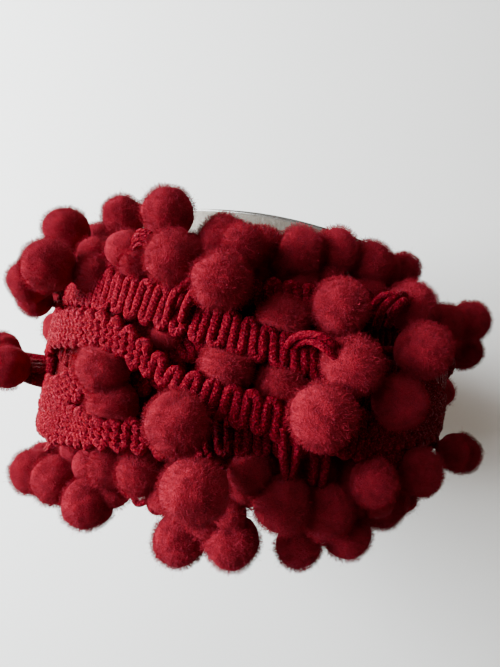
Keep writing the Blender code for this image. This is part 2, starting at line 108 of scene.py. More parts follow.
# how the turns lie where they show, over the pompoms under them: turn, angle, millimetres along Y
# and from the core's axis, half width, lean of the folds in degrees, and share of the knitted side
SHOWN = (
    (0, -82, -15.0, 51.0, 3.4, 0, 1.0),
    (0, -54, -15.2, 53.0, 3.4, 0, 1.0),
    (0, -46, -13.4, 53.5, 3.3, 0, 1.0),
    (0, -39, -10.7, 54.0, 3.2, 0, 1.0),
    (0, -28, -8.0, 52.5, 3.0, 0, 0.6),
    (0, -8, -3.0, 51.5, 3.0, 0, 0.0),
    (1, -26, 12.5, 51.0, 3.0, 0, 0.0),
    (1, -9, 12.7, 52.0, 2.5, -8, 0.0),
    (1, 4, 13.7, 53.0, 2.4, -10, 0.0),
    (1, 13, 14.3, 53.0, 2.4, -8, 0.0),
    (1, 30, 15.0, 51.5, 2.8, 0, 0.0),
    (2, -92, -18.0, 50.5, 3.6, 0, 1.0),
    (2, -62, -20.0, 52.0, 3.9, 0, 1.0),
    (2, -47, -20.4, 53.0, 4.0, 0, 1.0),
    (2, -37, -19.0, 54.0, 3.1, 0, 1.0),
    (2, -29, -18.4, 56.5, 2.8, 0, 1.0),
    (2, -23, -17.8, 57.0, 2.7, 0, 1.0),
    (2, -15, -16.8, 55.0, 2.9, 0, 0.9),
    (2, -7.5, -14.9, 53.0, 3.5, 0, 0.0),
    (2, -1, -13.2, 52.8, 3.5, 0, 0.0),
    (2, 6, -12.3, 52.8, 3.5, 0, 0.0),
    (2, 20, -9.8, 53.5, 3.5, 0, 0.6),
    (2, 27, -8.0, 54.0, 3.2, 0, 1.0),
    (2, 36, -6.8, 54.0, 3.2, 0, 1.0),
    (2, 50, -4.7, 53.5, 3.3, 0, 1.0),
    (2, 82, 1.0, 50.5, 3.6, 0, 0.5),
    (3, -105, 4.5, 50.5, 3.6, 0, 0.8),
    (3, -82, 9.0, 51.0, 3.7, 0, 0.8),
    (3, -64, 10.6, 52.6, 3.9, 0, 0.7),
    (3, -44, 9.2, 53.6, 3.8, 0, 0.5),
    (3, -36, 8.7, 55.2, 3.7, 0, 0.1),
    (3, -30, 8.2, 56.0, 3.7, -3, 0.0),
    (3, -21, 7.1, 56.2, 3.6, 0, 0.0),
    (3, -13.5, 5.7, 56.6, 3.5, 0, 0.0),
    (3, -5, 4.4, 56.8, 3.25, -6, 0.0),
    (3, 2, 3.5, 57.0, 3.1, -15, 0.0),
    (3, 9.5, 2.9, 57.0, 3.15, -17, 0.0),
    (3, 17, 2.5, 56.5, 3.2, -8, 0.0),
    (3, 29, 2.0, 55.0, 3.5, 0, 0.3),
    (3, 41, 1.8, 55.0, 3.3, 0, 0.6),
    (3, 51, -0.1, 54.0, 3.5, 0, 0.7),
    (3, 82, -6.5, 50.5, 3.6, 0, 0.7),
    (4, -105, -5.0, 50.5, 3.6, 0, 1.0),
    (4, -78, -3.2, 52.5, 4.1, 0, 1.0),
    (4, -61, -1.2, 54.0, 4.4, 0, 1.0),
    (4, -51, -0.5, 55.5, 4.0, 0, 1.0),
    (4, -39.5, 0.1, 57.0, 3.4, -10, 0.9),
    (4, -31.5, 0.5, 58.2, 3.0, -20, 0.8),
    (4, -25.5, -0.4, 58.6, 2.9, -25, 0.7),
    (4, -20.5, -2.4, 58.6, 2.7, -25, 0.6),
    (4, -16.5, -4.1, 58.8, 2.0, -20, 0.3),
    (4, -13.8, -5.3, 59.0, 1.3, 0, 0.0),
    (4, -12, -6.0, 59.0, 1.7, 0, 0.0),
    (4, -9.9, -6.4, 59.0, 2.6, 0, 0.0),
    (4, -5.3, -7.4, 59.0, 2.8, -4, 0.0),
    (4, 0, -8.1, 59.0, 2.9, -9, 0.0),
    (4, 6, -9.0, 58.5, 2.95, -9, 0.0),
    (4, 14, -9.6, 57.0, 3.1, 0, 0.0),
    (4, 24, -9.9, 55.0, 3.4, 0, 0.3),
    (4, 36, -11.0, 53.0, 3.5, 0, 0.5),
    (4, 70, -12.5, 50.5, 3.5, 0, 0.5),
)

# single cords that stand out of the braid: radius in millimetres, then the angle, millimetres along
# Y and millimetres from the core's axis of the points that each runs through
STRANDS = (
    (0.85, ((6.8, -10.0, 59.0), (8.2, -14.8, 57.5), (10.8, -19.6, 53.5))),
    (0.85, ((9.3, -10.3, 59.0), (10.5, -14.4, 57.5), (11.4, -19.5, 53.5))),
    (0.8, ((14.9, -12.5, 54.0), (16.0, -16.0, 53.5), (17.1, -20.0, 51.5))),
    (0.8, ((17.5, -12.0, 54.0), (18.5, -16.0, 53.5), (19.6, -20.0, 51.5))),
    (
        0.75,
        ((4.9, 3.9, 57.4), (6.0, 5.8, 60.0), (8.2, 6.5, 62.6), (10.6, 5.9, 63.4), (13.2, 4.6, 61.5)),
    ),
    (
        0.75,
        ((6.4, 4.4, 57.6), (7.6, 5.4, 60.6), (9.2, 5.0, 62.6), (11.2, 3.9, 63.2), (13.4, 3.2, 61.5)),
    ),
    (0.85, ((23.9, 11.7, 54.0), (22.6, 15.2, 57.0), (25.6, 18.6, 57.2), (29.5, 18.4, 55.0))),
    (0.85, ((26.9, 12.7, 54.0), (24.6, 15.6, 58.0), (26.2, 17.4, 58.0), (29.5, 17.4, 55.8))),
    (0.8, ((21.9, 15.0, 54.0), (22.4, 17.5, 56.3), (25.2, 18.0, 57.3), (29.0, 18.8, 54.8))),
    (0.85, ((-17.4, 4.9, 57.4), (-15.6, 9.4, 60.0), (-11.6, 12.6, 62.5))),
    (0.85, ((-14.5, 4.7, 57.4), (-12.9, 8.8, 60.0), (-10.2, 11.6, 62.5))),
    (0.8, ((-44.8, 2.8, 55.0), (-38.0, 0.8, 57.5), (-35.0, 3.4, 57.5), (-31.6, 5.6, 56.6))),
    (0.42, ((-28.6, 19.3, 57.4), (-26.4, 20.4, 58.6), (-24.0, 20.1, 58.2))),
    (0.42, ((-28.6, 18.5, 57.5), (-26.4, 19.5, 58.8), (-24.0, 19.2, 58.3))),
    (0.42, ((-28.4, 17.7, 57.5), (-26.2, 18.6, 58.8), (-23.8, 18.3, 58.3))),
    (0.42, ((-28.2, 16.9, 57.3), (-26.0, 17.7, 58.6), (-23.6, 17.4, 58.2))),
    (0.7, ((-23.6, -28.5, 47.0), (-21.8, -31.4, 46.0), (-19.2, -30.4, 46.0))),
    (0.7, ((-19.2, -29.2, 46.0), (-17.9, -31.6, 45.6), (-16.2, -32.1, 45.0), (-15.0, -30.0, 45.6))),
    (0.7, ((-6.5, -17.5, 53.0), (-3.5, -20.0, 52.6), (-1.0, -19.0, 52.0))),
    (1.0, ((-79.0, -9.2, 52.5), (-77.5, -9.8, 57.0), (-74.0, -10.8, 61.5))),
    (1.0, ((-74.0, -9.8, 52.5), (-75.5, -10.6, 57.0), (-76.0, -10.3, 61.5))),
    (1.0, ((-72.5, -12.6, 52.5), (-72.0, -12.7, 57.0), (-71.5, -12.3, 61.0))),
    (1.0, ((-71.5, -14.4, 52.0), (-72.0, -14.0, 56.5), (-72.5, -12.8, 61.0))),
)

# the waves of the core's rim: share of their height, how many go round it and shift in radians
RIM_WAVES = ((1.0, 3, 0.6), (0.6, 7, 2.0))

# the wound form: degrees round the core, its low end, high end and depth in millimetres
WIND_FORM = (
    (-180, -19.0, 19.0, 8.4),
    (-120, -20.5, 18.5, 9.6),
    (-85, -22.0, 19.0, 11.0),
    (-60, -22.5, 20.0, 11.0),
    (-30, -22.0, 20.5, 9.4),
    (0, -18.0, 17.5, 8.4),
    (30, -13.5, 18.5, 8.2),
    (60, -15.5, 20.0, 8.0),
    (120, -19.0, 18.5, 8.4),
)

# the clumps of pompoms on the upper half: name, radius under the pile in millimetres, then for each
# pompom its angle, millimetres along Y, millimetres from the core's axis and radius over its pile
CLUMPS = (
    ("rim_far_left", 4.3, ((-86, 23.5, 48, 4.8), (-72, 25, 48, 4.6), (-58, 22.5, 57, 5.2))),
    ("rim_left", 4.6, ((-50, 28.3, 47.3, 4.8), (-24.5, 25.7, 54, 5.1))),
    ("rim_middle", 3.7, ((-12.5, 23.5, 47.5, 4.9), (-3.7, 23, 47.3, 4.4), (5.3, 23.6, 48.6, 4.8))),
    ("rim_right", 3.8, ((13.9, 25.8, 47.6, 4.5), (24.5, 25.8, 47.2, 4.6), (37, 27.5, 47, 3.3))),
    ("rim_far_right", 4.5, ((57.5, 19.5, 51, 4.5), (68, 22.5, 55.5, 5.0))),
    ("side_right", 4.8, ((80, 16.5, 56.5, 5.0), (98, 5.5, 57.5, 5.2))),
    ("side_far_left", 4.8, ((-92, 13, 58.5, 5.2), (-97, 1, 58.5, 5.2), (-101, -12, 58, 5.2))),
    ("upper_far_left", 4.9, ((-46.7, 11.8, 61.7, 5.5), (-66.7, 9.9, 61.3, 5.3), (-76, 6.5, 60, 4.4))),
    ("upper_left", 4.0, ((-42, 12, 55, 3.8), (-28.4, 14, 55, 3.5))),
    ("upper_middle", 4.9, ((-17.2, 15.3, 60.5, 4.9), (-7.8, 12.8, 61.5, 5.0), (-6.7, 20, 55.8, 4.0))),
    ("upper_near_right", 4.6, ((3.7, 8.2, 56, 4.5), (12.7, 12, 59.3, 4.9))),
    ("upper_right", 5.0, ((32.3, 18, 54, 5.0), (30, 8.3, 60.5, 5.1))),
    ("side_left", 5.0, ((-71.7, -11.7, 62, 5.3), (-86, -8.8, 68.5, 5.2))),
    ("middle_left", 3.5, ((-28.5, -6.3, 57.5, 5.2), (-26.2, -12.9, 55.4, 4.9))),
    ("middle_near", 4.4, ((-5, -1.7, 56, 4.6), (5.5, -3, 55.3, 4.0))),
    ("middle_right", 5.2, ((15.5, 3.2, 60.3, 5.3), (28, -1, 59.3, 4.8))),
    ("lower_near", 5.4, ((-10, -12.6, 61.5, 5.3), (12, -5.8, 62.7, 5.4))),
    ("lower_right", 4.5, ((59, -9.7, 56.7, 3.4), (76, -10.3, 59, 5.0))),
    ("edge_far_left", 4.9, ((-82, -34.8, 49, 4.9), (-57.3, -33, 51.5, 5.0))),
    ("edge_left", 4.9, ((-46.8, -32, 49.7, 5.4), (-34, -33.4, 48.2, 5.3))),
    ("edge_inner_left", 4.1, ((-29.5, -25.7, 49, 4.3), (-19.3, -24.5, 51, 4.4))),
    ("edge_near_left", 5.2, ((-10.2, -37, 42, 5.2), (-5, -22.6, 62.5, 5.6))),
    ("edge_near", 5.0, ((3.4, -33.8, 46, 5.2), (11.3, -24, 52.2, 5.1), (22, -24.5, 50, 5.3))),
    ("edge_near_right", 4.5, ((22.4, -33.8, 43.2, 4.5), (34.5, -30, 46, 5.1))),
    ("edge_right", 4.6, ((29, -17.3, 55.2, 4.4), (43, -14.2, 55.5, 4.6))),
    ("edge_far_right", 4.4, ((46.7, -24.6, 47, 4.4), (61, -17, 50, 4.2), (84, -19.5, 52, 5.0))),
)

# the clumps of the lower half, which follow even rings: name, radius under the pile, millimetres
# along Y and from the axis, degrees of the first pompom, step, and pompoms in each clump
RINGS = (
    ("under_rim", 4.7, 25.0, 50.0, 104, 21.0, (3, 3, 2)),
    ("under_upper", 4.9, 11.0, 59.0, 106, 22.0, (2, 3, 2)),
    ("under_middle", 4.9, -1.0, 59.0, 117, 21.0, (2, 3, 2)),
    ("under_lower", 4.9, -13.0, 59.0, 108, 22.0, (2, 3, 2)),
    ("under_edge", 4.9, -27.0, 52.0, 106, 21.0, (3, 3, 2)),
)

# pompoms that lie pressed between the clumps: angle, millimetres along Y, millimetres from the
# core's axis and radius; the last three rows go round the wound form's edges
BETWEEN_CLUMP = "between"
BETWEEN = (
    (-47.0, 17.0, 53.0, 4.0),
    (-35.0, 18.0, 53.0, 4.2),
    (31.0, 26.0, 46.0, 3.8),
    (9.5, -2.5, 53.5, 3.4),
    (-33.5, -14.0, 51.0, 3.4),
    (-13.0, -27.5, 50.0, 3.4),
    (-29.5, -30.5, 46.0, 3.6),
    (37.5, -21.5, 50.0, 4.2),
    (3.5, -19.5, 52.0, 4.2),
    (-19.0, 2.5, 52.5, 3.4),
    (-37.5, -27.0, 47.0, 4.2),
    (-45.0, -25.0, 47.5, 3.8),
    (1.5, -28.5, 47.5, 3.4),
    (-3.8, 18.2, 47.5, 3.2),
    (8.2, 18.7, 47.5, 3.2),
    (-3.5, -31.5, 45.5, 3.4),
    *((turned, -23.0, 46.5, 4.4) for turned in range(-76, 76, 10)),
    *((turned, -18.0, 46.0, 4.4) for turned in range(-15, 62, 9)),
    *((turned, 20.5, 46.5, 4.0) for turned in range(-82, 82, 12)),
)


def smooth_step(value: np.ndarray) -> np.ndarray:
    """Ease from 0 to 1 as the values go from 0 to 1, and hold them past either end."""
    held = np.clip(value, 0.0, 1.0)
    return held * held * (3.0 - 2.0 * held)


def curve_through(values: np.ndarray, place: np.ndarray) -> np.ndarray:
    """Read a smooth curve through evenly spaced values.

    Args:
        values: The values that the curve passes through.
        place: Where to read it, counted in steps.

    Returns:
        The curve's value at each place.
    """
    last = len(values) - 1
    step = np.clip(np.floor(place).astype(int), 0, last - 1)
    part = place - step
    before, start = values[np.maximum(step - 1, 0)], values[step]
    end, after = values[step + 1], values[np.minimum(step + 2, last)]
    bend = 2 * before - 5 * start + 4 * end - after
    twist = 3 * (start - end) + after - before
    return start + 0.5 * part * (end - before + part * (bend + part * twist))


def unit(vectors: np.ndarray) -> np.ndarray:
    """Scale each row to length 1."""
    return vectors / np.maximum(np.linalg.norm(vectors, axis=-1, keepdims=True), TINY)


@dataclass
class CoreSize:
    """The core tube's place and sizes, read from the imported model."""

    axis_height: float
    radius: float
    low_end: float
    high_end: float

    @classmethod
    def read(cls) -> "CoreSize":
        """Read the sizes from the core's box."""
        low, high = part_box("core")
        return cls((low.z + high.z) / 2, (high.x - low.x) / 2, low.y, high.y)

    def point(self, turned: np.ndarray, along: np.ndarray, out: np.ndarray) -> np.ndarray:
        """Find world points round the core.

        Args:
            turned: Degrees round the core.
            along: Places along Y, in metres.
            out: Distances from the core's axis, in metres.

        Returns:
            The points, one in each row, or one point where all three are numbers.
        """
        angle = np.radians(turned)
        height = self.axis_height + out * np.cos(angle)
        return np.stack(np.broadcast_arrays(out * np.sin(angle), along, height), axis=-1)

    def polar(self, points: np.ndarray) -> tuple[np.ndarray, np.ndarray]:
        """Each point's angle round the core in degrees, and its distance from the core's axis."""
        x, rise = points[..., 0], points[..., 2] - self.axis_height
        return np.degrees(np.arctan2(x, rise)), np.hypot(x, rise)

    def at_distance(self, points: np.ndarray, out: np.ndarray) -> np.ndarray:
        """Move points straight in or out, to new distances from the core's axis.

        Args:
            points: World points, one in each row.
            out: The new distances, in metres.

        Returns:
            The moved points.
        """
        share = out / np.maximum(self.polar(points)[1], TINY)
        moved = points.copy()
        moved[:, 0] *= share
        moved[:, 2] = self.axis_height + (points[:, 2] - self.axis_height) * share
        return moved


@dataclass(frozen=True)
class Pompom:
    """One pompom: its clump, its middle, its radius over the pile and its radius under it.

    The radius under the pile is what the pompoms of other clumps keep clear of. It is 0 for those
    that lie pressed between the clumps.
    """

    clump: str
    middle: np.ndarray
    radius: float
    heart: float = 0.0


@dataclass
class PompomLayout:
    """Where the pompoms lie: the tables, pushed apart and off the core and the surface."""

    core: CoreSize
    apart: float = 0.5 * MM
    to_winding: float = 2.6 * MM
    rim_start: float = 17.5 * MM  # along Y
    floor_height: float = 4.3 * MM
    floor_arc: float = 34.0  # degrees to either side of the lowest place
    floor_ring_out: float = 55.0  # millimetres
    sway: float = 2.5 * MM
    sway_waves: float = 5.0
    sway_shift: float = 7.0  # degrees for each millimetre along Y
    passes: int = 60
    pile_share: float = 1.09  # of the radius under the pile

    def upper(self) -> list[Pompom]:
        """Read the pompoms of the upper half from their table.

        Returns:
            The pompoms, clump by clump.
        """
        return [
            Pompom(name, self.core.point(turned, along * MM, out * MM), radius * MM, heart * MM)
            for name, heart, places in CLUMPS
            for turned, along, out, radius in places
        ]

    def ring_point(self, turned: float, along: float, out: float) -> np.ndarray:
        """Find a ring's point, with its sway, and down on the surface near the lowest place.

        Args:
            turned: Degrees round the core.
            along: The ring's place along Y, in millimetres.
            out: The ring's distance from the core's axis, in millimetres.

        Returns:
            The point, in metres.
        """
        wave = math.radians(self.sway_waves * turned + self.sway_shift * along)
        from_lowest = abs(turned % 360.0 - 180.0)
        distance = out * MM
        if out > self.floor_ring_out and from_lowest <= self.floor_arc:
            drop = self.core.axis_height - self.floor_height
            distance = drop / math.cos(math.radians(from_lowest))
        return self.core.point(turned, along * MM + self.sway * math.sin(wave), distance)

    def lower(self) -> list[Pompom]:
        """Space the pompoms of the lower half evenly along their rings.

        Returns:
            The pompoms, ring by ring.
        """
        pompoms = []
        for name, heart, along, out, turned, step, counts in RINGS:
            radius = heart * MM * self.pile_share
            for number, count in enumerate(counts, 1):
                for _ in range(count):
                    middle = self.ring_point(turned, along, out)
                    pompoms.append(Pompom(f"{name}_{number}", middle, radius, heart * MM))
                    turned += step
        return pompoms

    def clear_of_core(self, middle: np.ndarray, heart: float) -> np.ndarray:
        """Move a pompom's middle off the core, the winding and the surface.

        Args:
            middle: The middle.
            heart: The pompom's radius under its pile.

        Returns:
            The moved middle.
        """
        core, along = self.core, middle[1]
        turned, out = core.polar(middle)
        least = core.radius + CORE_GAP + heart
        if along <= self.rim_start:
            least += LEAST_WINDING + self.to_winding
        if core.low_end - heart - CORE_GAP < along < core.high_end + heart and out < least:
            middle = core.point(turned, along, least)
        return np.maximum(middle, (-np.inf, -np.inf, self.floor_height))

    def settle(self) -> list[Pompom]:
        """Push the clumps' pompoms apart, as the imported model's are.

        Returns:
            The pompoms in the tables' order, and those that lie between the clumps.
        """
        pompoms = self.upper() + self.lower()
        middles = np.array([pompom.middle for pompom in pompoms])
        hearts = np.array([pompom.heart for pompom in pompoms])
        for _ in range(self.passes):
            away = middles[:, None] - middles[None]
            distance = np.linalg.norm(away, axis=2) + np.eye(len(hearts))
            short = np.maximum(hearts[:, None] + hearts[None] + self.apart - distance, 0.0)
            np.fill_diagonal(short, 0.0)
            middles = middles + (away / distance[..., None] * short[..., None]).sum(axis=1) / 2
            middles = np.array([self.clear_of_core(*pair) for pair in zip(middles, hearts)])
        settled = [replace(pompom, middle=middle) for pompom, middle in zip(pompoms, middles)]
        for turned, along, out, radius in BETWEEN:
            middle = self.core.point(turned, along * MM, out * MM)
            settled.append(Pompom(BETWEEN_CLUMP, middle, radius * MM))
        return settled


@dataclass
class WoundForm:
    """The wound body's surface, read by angle round the core and distance across the form."""

    LOW_END, HIGH_END, DEPTH = 1, 2, 3  # the table's columns after its angles

    core: CoreSize
    columns: int = 360
    rows: int = 121
    fineness: int = 4  # of the section from which the rows are spread
    braid_rise: float = 3.0 * MM
    packing: float = 0.45  # share of the height below that a turn sinks where it crosses
    braid_flat: float = 2.4 * MM
    braid_reach: float = 4.4 * MM
    shoulder_power: float = 0.5
    end_power: float = 0.75
    points: np.ndarray = field(init=False)
    normals: np.ndarray = field(init=False)
    widths: np.ndarray = field(init=False)

    def __post_init__(self) -> None:
        """Lay out the surface's points, evenly spaced across the form at each angle."""
        fine = self.section_points()
        steps = np.linalg.norm(np.diff(fine, axis=1), axis=2)
        reach = np.concatenate([np.zeros((self.columns, 1)), np.cumsum(steps, axis=1)], axis=1)
        self.widths = reach[:, -1]
        self.points = np.zeros((self.columns, self.rows, 3))
        for column in range(self.columns):
            even = np.linspace(0.0, self.widths[column], self.rows)
            for axis in range(3):
                self.points[column, :, axis] = np.interp(even, reach[column], fine[column, :, axis])
        round_way = np.roll(self.points, -1, axis=0) - np.roll(self.points, 1, axis=0)
        self.normals = unit(np.cross(np.gradient(self.points, axis=1), round_way))
        outward = self.points - self.core.point(0.0, 0.0, 0.0)
        outward[..., 1] = 0.0
        if (self.normals * outward).sum() < 0:
            self.normals = -self.normals

    def section_points(self) -> np.ndarray:
        """Find the form's rounded section at each angle, from its low end to its high end.

        Returns:
            A grid of points by angle and place in the section.
        """
        turned = np.arange(self.columns) * 360.0 / self.columns - 180.0
        sweep = np.linspace(0.0, math.pi, self.fineness * self.rows)
        low, high, depth = (
            self.form_column(turned, column)[:, None]
            for column in (self.LOW_END, self.HIGH_END, self.DEPTH)
        )
        across = -np.sign(np.cos(sweep)) * np.abs(np.cos(sweep)) ** self.end_power
        along = (low + high) / 2 + across * (high - low) / 2
        height = depth * np.maximum(np.sin(sweep), 0.0) ** self.shoulder_power
        out = self.core.radius + CORE_GAP + np.maximum(height, LEAST_WINDING)
        return self.core.point(turned[:, None], along, out)

    @staticmethod
    def form_column(turned: np.ndarray, column: int) -> np.ndarray:
        """Read one column of the form's table, eased from row to row.

        Args:
            turned: Degrees round the core.
            column: The column's number.

        Returns:
            The column's value at each angle, in metres.
        """
        knots = np.array([row[0] for row in WIND_FORM] + [WIND_FORM[0][0] + 360.0])
        values = np.array([row[column] for row in WIND_FORM] + [WIND_FORM[0][column]]) * MM
        held = (turned + 180.0) % 360.0 - 180.0
        index = np.clip(np.searchsorted(knots, held, side="right") - 1, 0, len(WIND_FORM) - 1)
        share = smooth_step((held - knots[index]) / (knots[index + 1] - knots[index]))
        return values[index] + share * (values[index + 1] - values[index])

    @staticmethod
    def turn_along(turn: int, turned: np.ndarray) -> np.ndarray:
        """Find where along Y a turn lies in the wound form.

        Args:
            turn: The turn's number, from 0 at the inner one.
            turned: Degrees round the core.

        Returns:
            Its place at each angle, in metres.
        """
        route = np.array([along for row in TURNS for along in row] + [LAST_TURN_END]) * MM
        per_turn = 360 // TURN_STEP
        return curve_through(route, turn * per_turn + (turned + 180.0) / TURN_STEP)

    def heap(self, turned: np.ndarray, along: np.ndarray, turns: int) -> np.ndarray:
        """Find how far the inner turns stand above the valleys.

        Args:
            turned: Degrees round the core.
            along: Places along Y, in metres.
            turns: How many of the turns to count, from the inner one out.

        Returns:
            The height at each place, in metres.
        """
        held = (turned + 180.0) % 360.0 - 180.0
        height = np.zeros_like(along)
        for turn in range(turns):
            off = np.abs(along - self.turn_along(turn, held))
            rise = smooth_step((self.braid_reach - off) / (self.braid_reach - self.braid_flat))
            height = height + rise * (self.braid_rise - self.packing * height)
        return height

    def sample(self, values: np.ndarray, turned: np.ndarray, across: np.ndarray) -> np.ndarray:
        """Read a grid of the form between its points.

        Args:
            values: A grid by column and row.
            turned: Degrees round the core.
            across: Metres across the form from its low end.

        Returns:
            The grid's value at each place.
        """
        column = (turned + 180.0) / 360.0 * self.columns
        first = np.floor(column).astype(int)
        share = (column - first)[:, None]
        first, second = first % self.columns, (first + 1) % self.columns
        row = np.clip(across / self.widths[first], 0.0, 1.0) * (self.rows - 1)
        low = np.minimum(np.floor(row).astype(int), self.rows - 2)
        rest = (row - low)[:, None]
        here = values[first, low] * (1 - share) + values[second, low] * share
        there = values[first, low + 1] * (1 - share) + values[second, low + 1] * share
        return here * (1 - rest) + there * rest

    def place(self, turned: np.ndarray, across: np.ndarray, lift: np.ndarray) -> np.ndarray:
        """World points on the form, lifted off it along its normal."""
        normals = unit(self.sample(self.normals, turned, across))
        return self.sample(self.points, turned, across) + normals * np.asarray(lift)[..., None]

    def across_at(self, turned: np.ndarray, along: np.ndarray) -> np.ndarray:
        """Find how far across the form places along Y are.

        Args:
            turned: Degrees round the core.
            along: Places along Y, in metres.

        Returns:
            Metres across the form from its low end, at each place.
        """
        columns = np.round((turned + 180.0) / 360.0 * self.columns).astype(int) % self.columns
        found = np.zeros(len(columns))
        for index, column in enumerate(columns):
            even = np.linspace(0.0, self.widths[column], self.rows)
            found[index] = np.interp(along[index], self.points[column, :, 1], even)
        return found


def link_object(name: str, mesh: bpy.types.Mesh, material: bpy.types.Material) -> bpy.types.Object:
    """Put a mesh into the scene in one material.

    Args:
        name: The object's name.
        mesh: Its mesh.
        material: The only material on it.

    Returns:
        The object.
    """
    mesh.materials.clear()
    mesh.materials.append(material)
    piece = bpy.data.objects.new(name, mesh)
    bpy.context.scene.collection.objects.link(piece)
    return piece


def finish_bmesh(
    name: str, shape: bmesh.types.BMesh, material: bpy.types.Material
) -> bpy.types.Object:
    """Turn a bmesh into a smooth object with its faces pointing out.

    Args:
        name: The object's name.
        shape: The bmesh, which is freed.
        material: The object's material.

    Returns:
        The object.
    """
    bmesh.ops.recalc_face_normals(shape, faces=shape.faces)
    mesh = bpy.data.meshes.new(name)
    shape.to_mesh(mesh)
    shape.free()
    mesh.shade_smooth()
    return link_object(name, mesh, material)


def mesh_from_arrays(name: str, points: np.ndarray, triangles: np.ndarray) -> bpy.types.Mesh:
    """Join many small shapes into one mesh.

    Args:
        name: The mesh's name.
        points: One row for each vertex.
        triangles: One row of three vertex numbers for each face.

    Returns:
        The mesh, shaded smooth.
    """
    mesh = bpy.data.meshes.new(name)
    mesh.vertices.add(len(points))
    mesh.vertices.foreach_set("co", points.astype(np.float32).ravel())
    mesh.loops.add(triangles.size)
    mesh.loops.foreach_set("vertex_index", triangles.astype(np.int32).ravel())
    mesh.polygons.add(len(triangles))
    mesh.polygons.foreach_set("loop_start", np.arange(0, triangles.size, 3, dtype=np.int32))
    mesh.update(calc_edges=True)
    mesh.shade_smooth()
    return mesh


def point_attribute(mesh: bpy.types.Mesh, name: str, values: np.ndarray) -> None:
    """Store one number for each vertex, for the mesh's material to read."""
    attribute = mesh.attributes.new(name, "FLOAT", "POINT")
    attribute.data.foreach_set("value", values.astype(np.float32))


def tube_mesh(
    name: str, paths: list[np.ndarray], thickness: list[np.ndarray], sides: int
) -> bpy.types.Mesh:
    """Sweep a round cord along each path.

    Args:
        name: The mesh's name.
        paths: For each cord, the points that it follows.
        thickness: For each cord, its radius at each point.
        sides: Sides of the cords' section, 4, 6, 8 or 10.

    Returns:
        The cords as one mesh, with UVs of millimetres along the cords, by their mean length, and
        turns round them.
    """
    curve = bpy.data.curves.new(name, "CURVE")
    curve.dimensions = "3D"
    curve.bevel_depth = 1.0
    curve.bevel_resolution = (sides - 4) // 2
    curve.use_fill_caps = True
    lengths = []
    for path, radii in zip(paths, thickness):
        spline = curve.splines.new("POLY")
        spline.points.add(len(path) - 1)
        spline.points.foreach_set("co", np.column_stack([path, np.ones(len(path))]).ravel())
        spline.points.foreach_set("radius", radii)
        lengths.append(np.linalg.norm(np.diff(path, axis=0), axis=1).sum() / MM)
    holder = bpy.data.objects.new(name, curve)
    bpy.context.scene.collection.objects.link(holder)
    graph = bpy.context.evaluated_depsgraph_get()
    mesh = bpy.data.meshes.new_from_object(holder.evaluated_get(graph))
    bpy.data.objects.remove(holder)
    bpy.data.curves.remove(curve)
    shape = bmesh.new()
    shape.from_mesh(mesh)
    bmesh.ops.remove_doubles(shape, verts=shape.verts, dist=MERGE_DISTANCE)
    shape.to_mesh(mesh)
    shape.free()
    layer = np.zeros(2 * len(mesh.loops), np.float32)
    mesh.uv_layers[0].uv.foreach_get("vector", layer)
    layer = layer.reshape(-1, 2) * (float(np.mean(lengths)), 1.0)
    mesh.uv_layers[0].uv.foreach_set("vector", layer.ravel())
    mesh.shade_smooth()
    return mesh


def soften(path: np.ndarray, passes: int) -> np.ndarray:
    """Ease the kinks out of a path without moving its ends.

    Args:
        path: The path's points or values, in order.
        passes: How many times to ease it.

    Returns:
        The eased path.
    """
    eased = path.copy()
    for _ in range(passes):
        between = (eased[:-2] + eased[2:]) / 2
        eased[1:-1] = (eased[1:-1] + between) / 2
    return eased


@dataclass
class Clearance:
    """What soft pieces keep clear of: the pompoms, the core and the surface."""

    core: CoreSize
    pompoms: list[Pompom]

    def press(self, points: np.ndarray, reach: float) -> np.ndarray:
        """Push points out of the pompoms, the core and the surface.

        Args:
            points: World points, one in each row.
            reach: How far the points keep from each, in metres.

        Returns:
            The moved points.
        """
        moved = points.copy()
        for pompom in self.pompoms:
            away = moved - pompom.middle
            distance = np.linalg.norm(away, axis=1)
            least = pompom.radius + reach
            inside = distance < least
            shares = least / np.maximum(distance[inside], TINY)
            moved[inside] = pompom.middle + away[inside] * shares[:, None]
        return self.off_core(moved, reach)

    def off_core(self, points: np.ndarray, reach: float) -> np.ndarray:
        """Push points out of the core and the surface alone.

        Args:
            points: World points, one in each row.
            reach: How far the points keep from each, in metres.

        Returns:
            The moved points.
        """
        core, along = self.core, points[:, 1]
        out = core.polar(points)[1]
        beside = (along > core.low_end) & (along < core.high_end)
        least = np.where(beside, core.radius + reach, 0.0)
        moved = core.at_distance(points, np.maximum(out, least))
        moved[:, 2] = np.maximum(moved[:, 2], reach)
        return moved


@dataclass
class Route:
    """The middle line of a braid, with how the braid lies along it.

    Where it shows, the line lies at its own distance from the core's axis, and elsewhere it lies on
    the form.
    """

    turned: np.ndarray
    along: np.ndarray
    across: np.ndarray
    turn: int | None = None
    out: np.ndarray | None = None
    half_width: np.ndarray | None = None
    lean: np.ndarray | None = None
    knit: np.ndarray | None = None
    shown: np.ndarray | None = None

    def read(self, values: np.ndarray, turned: np.ndarray) -> np.ndarray:
        """Read one of the line's values at each angle."""
        return np.interp(turned, self.turned, values)


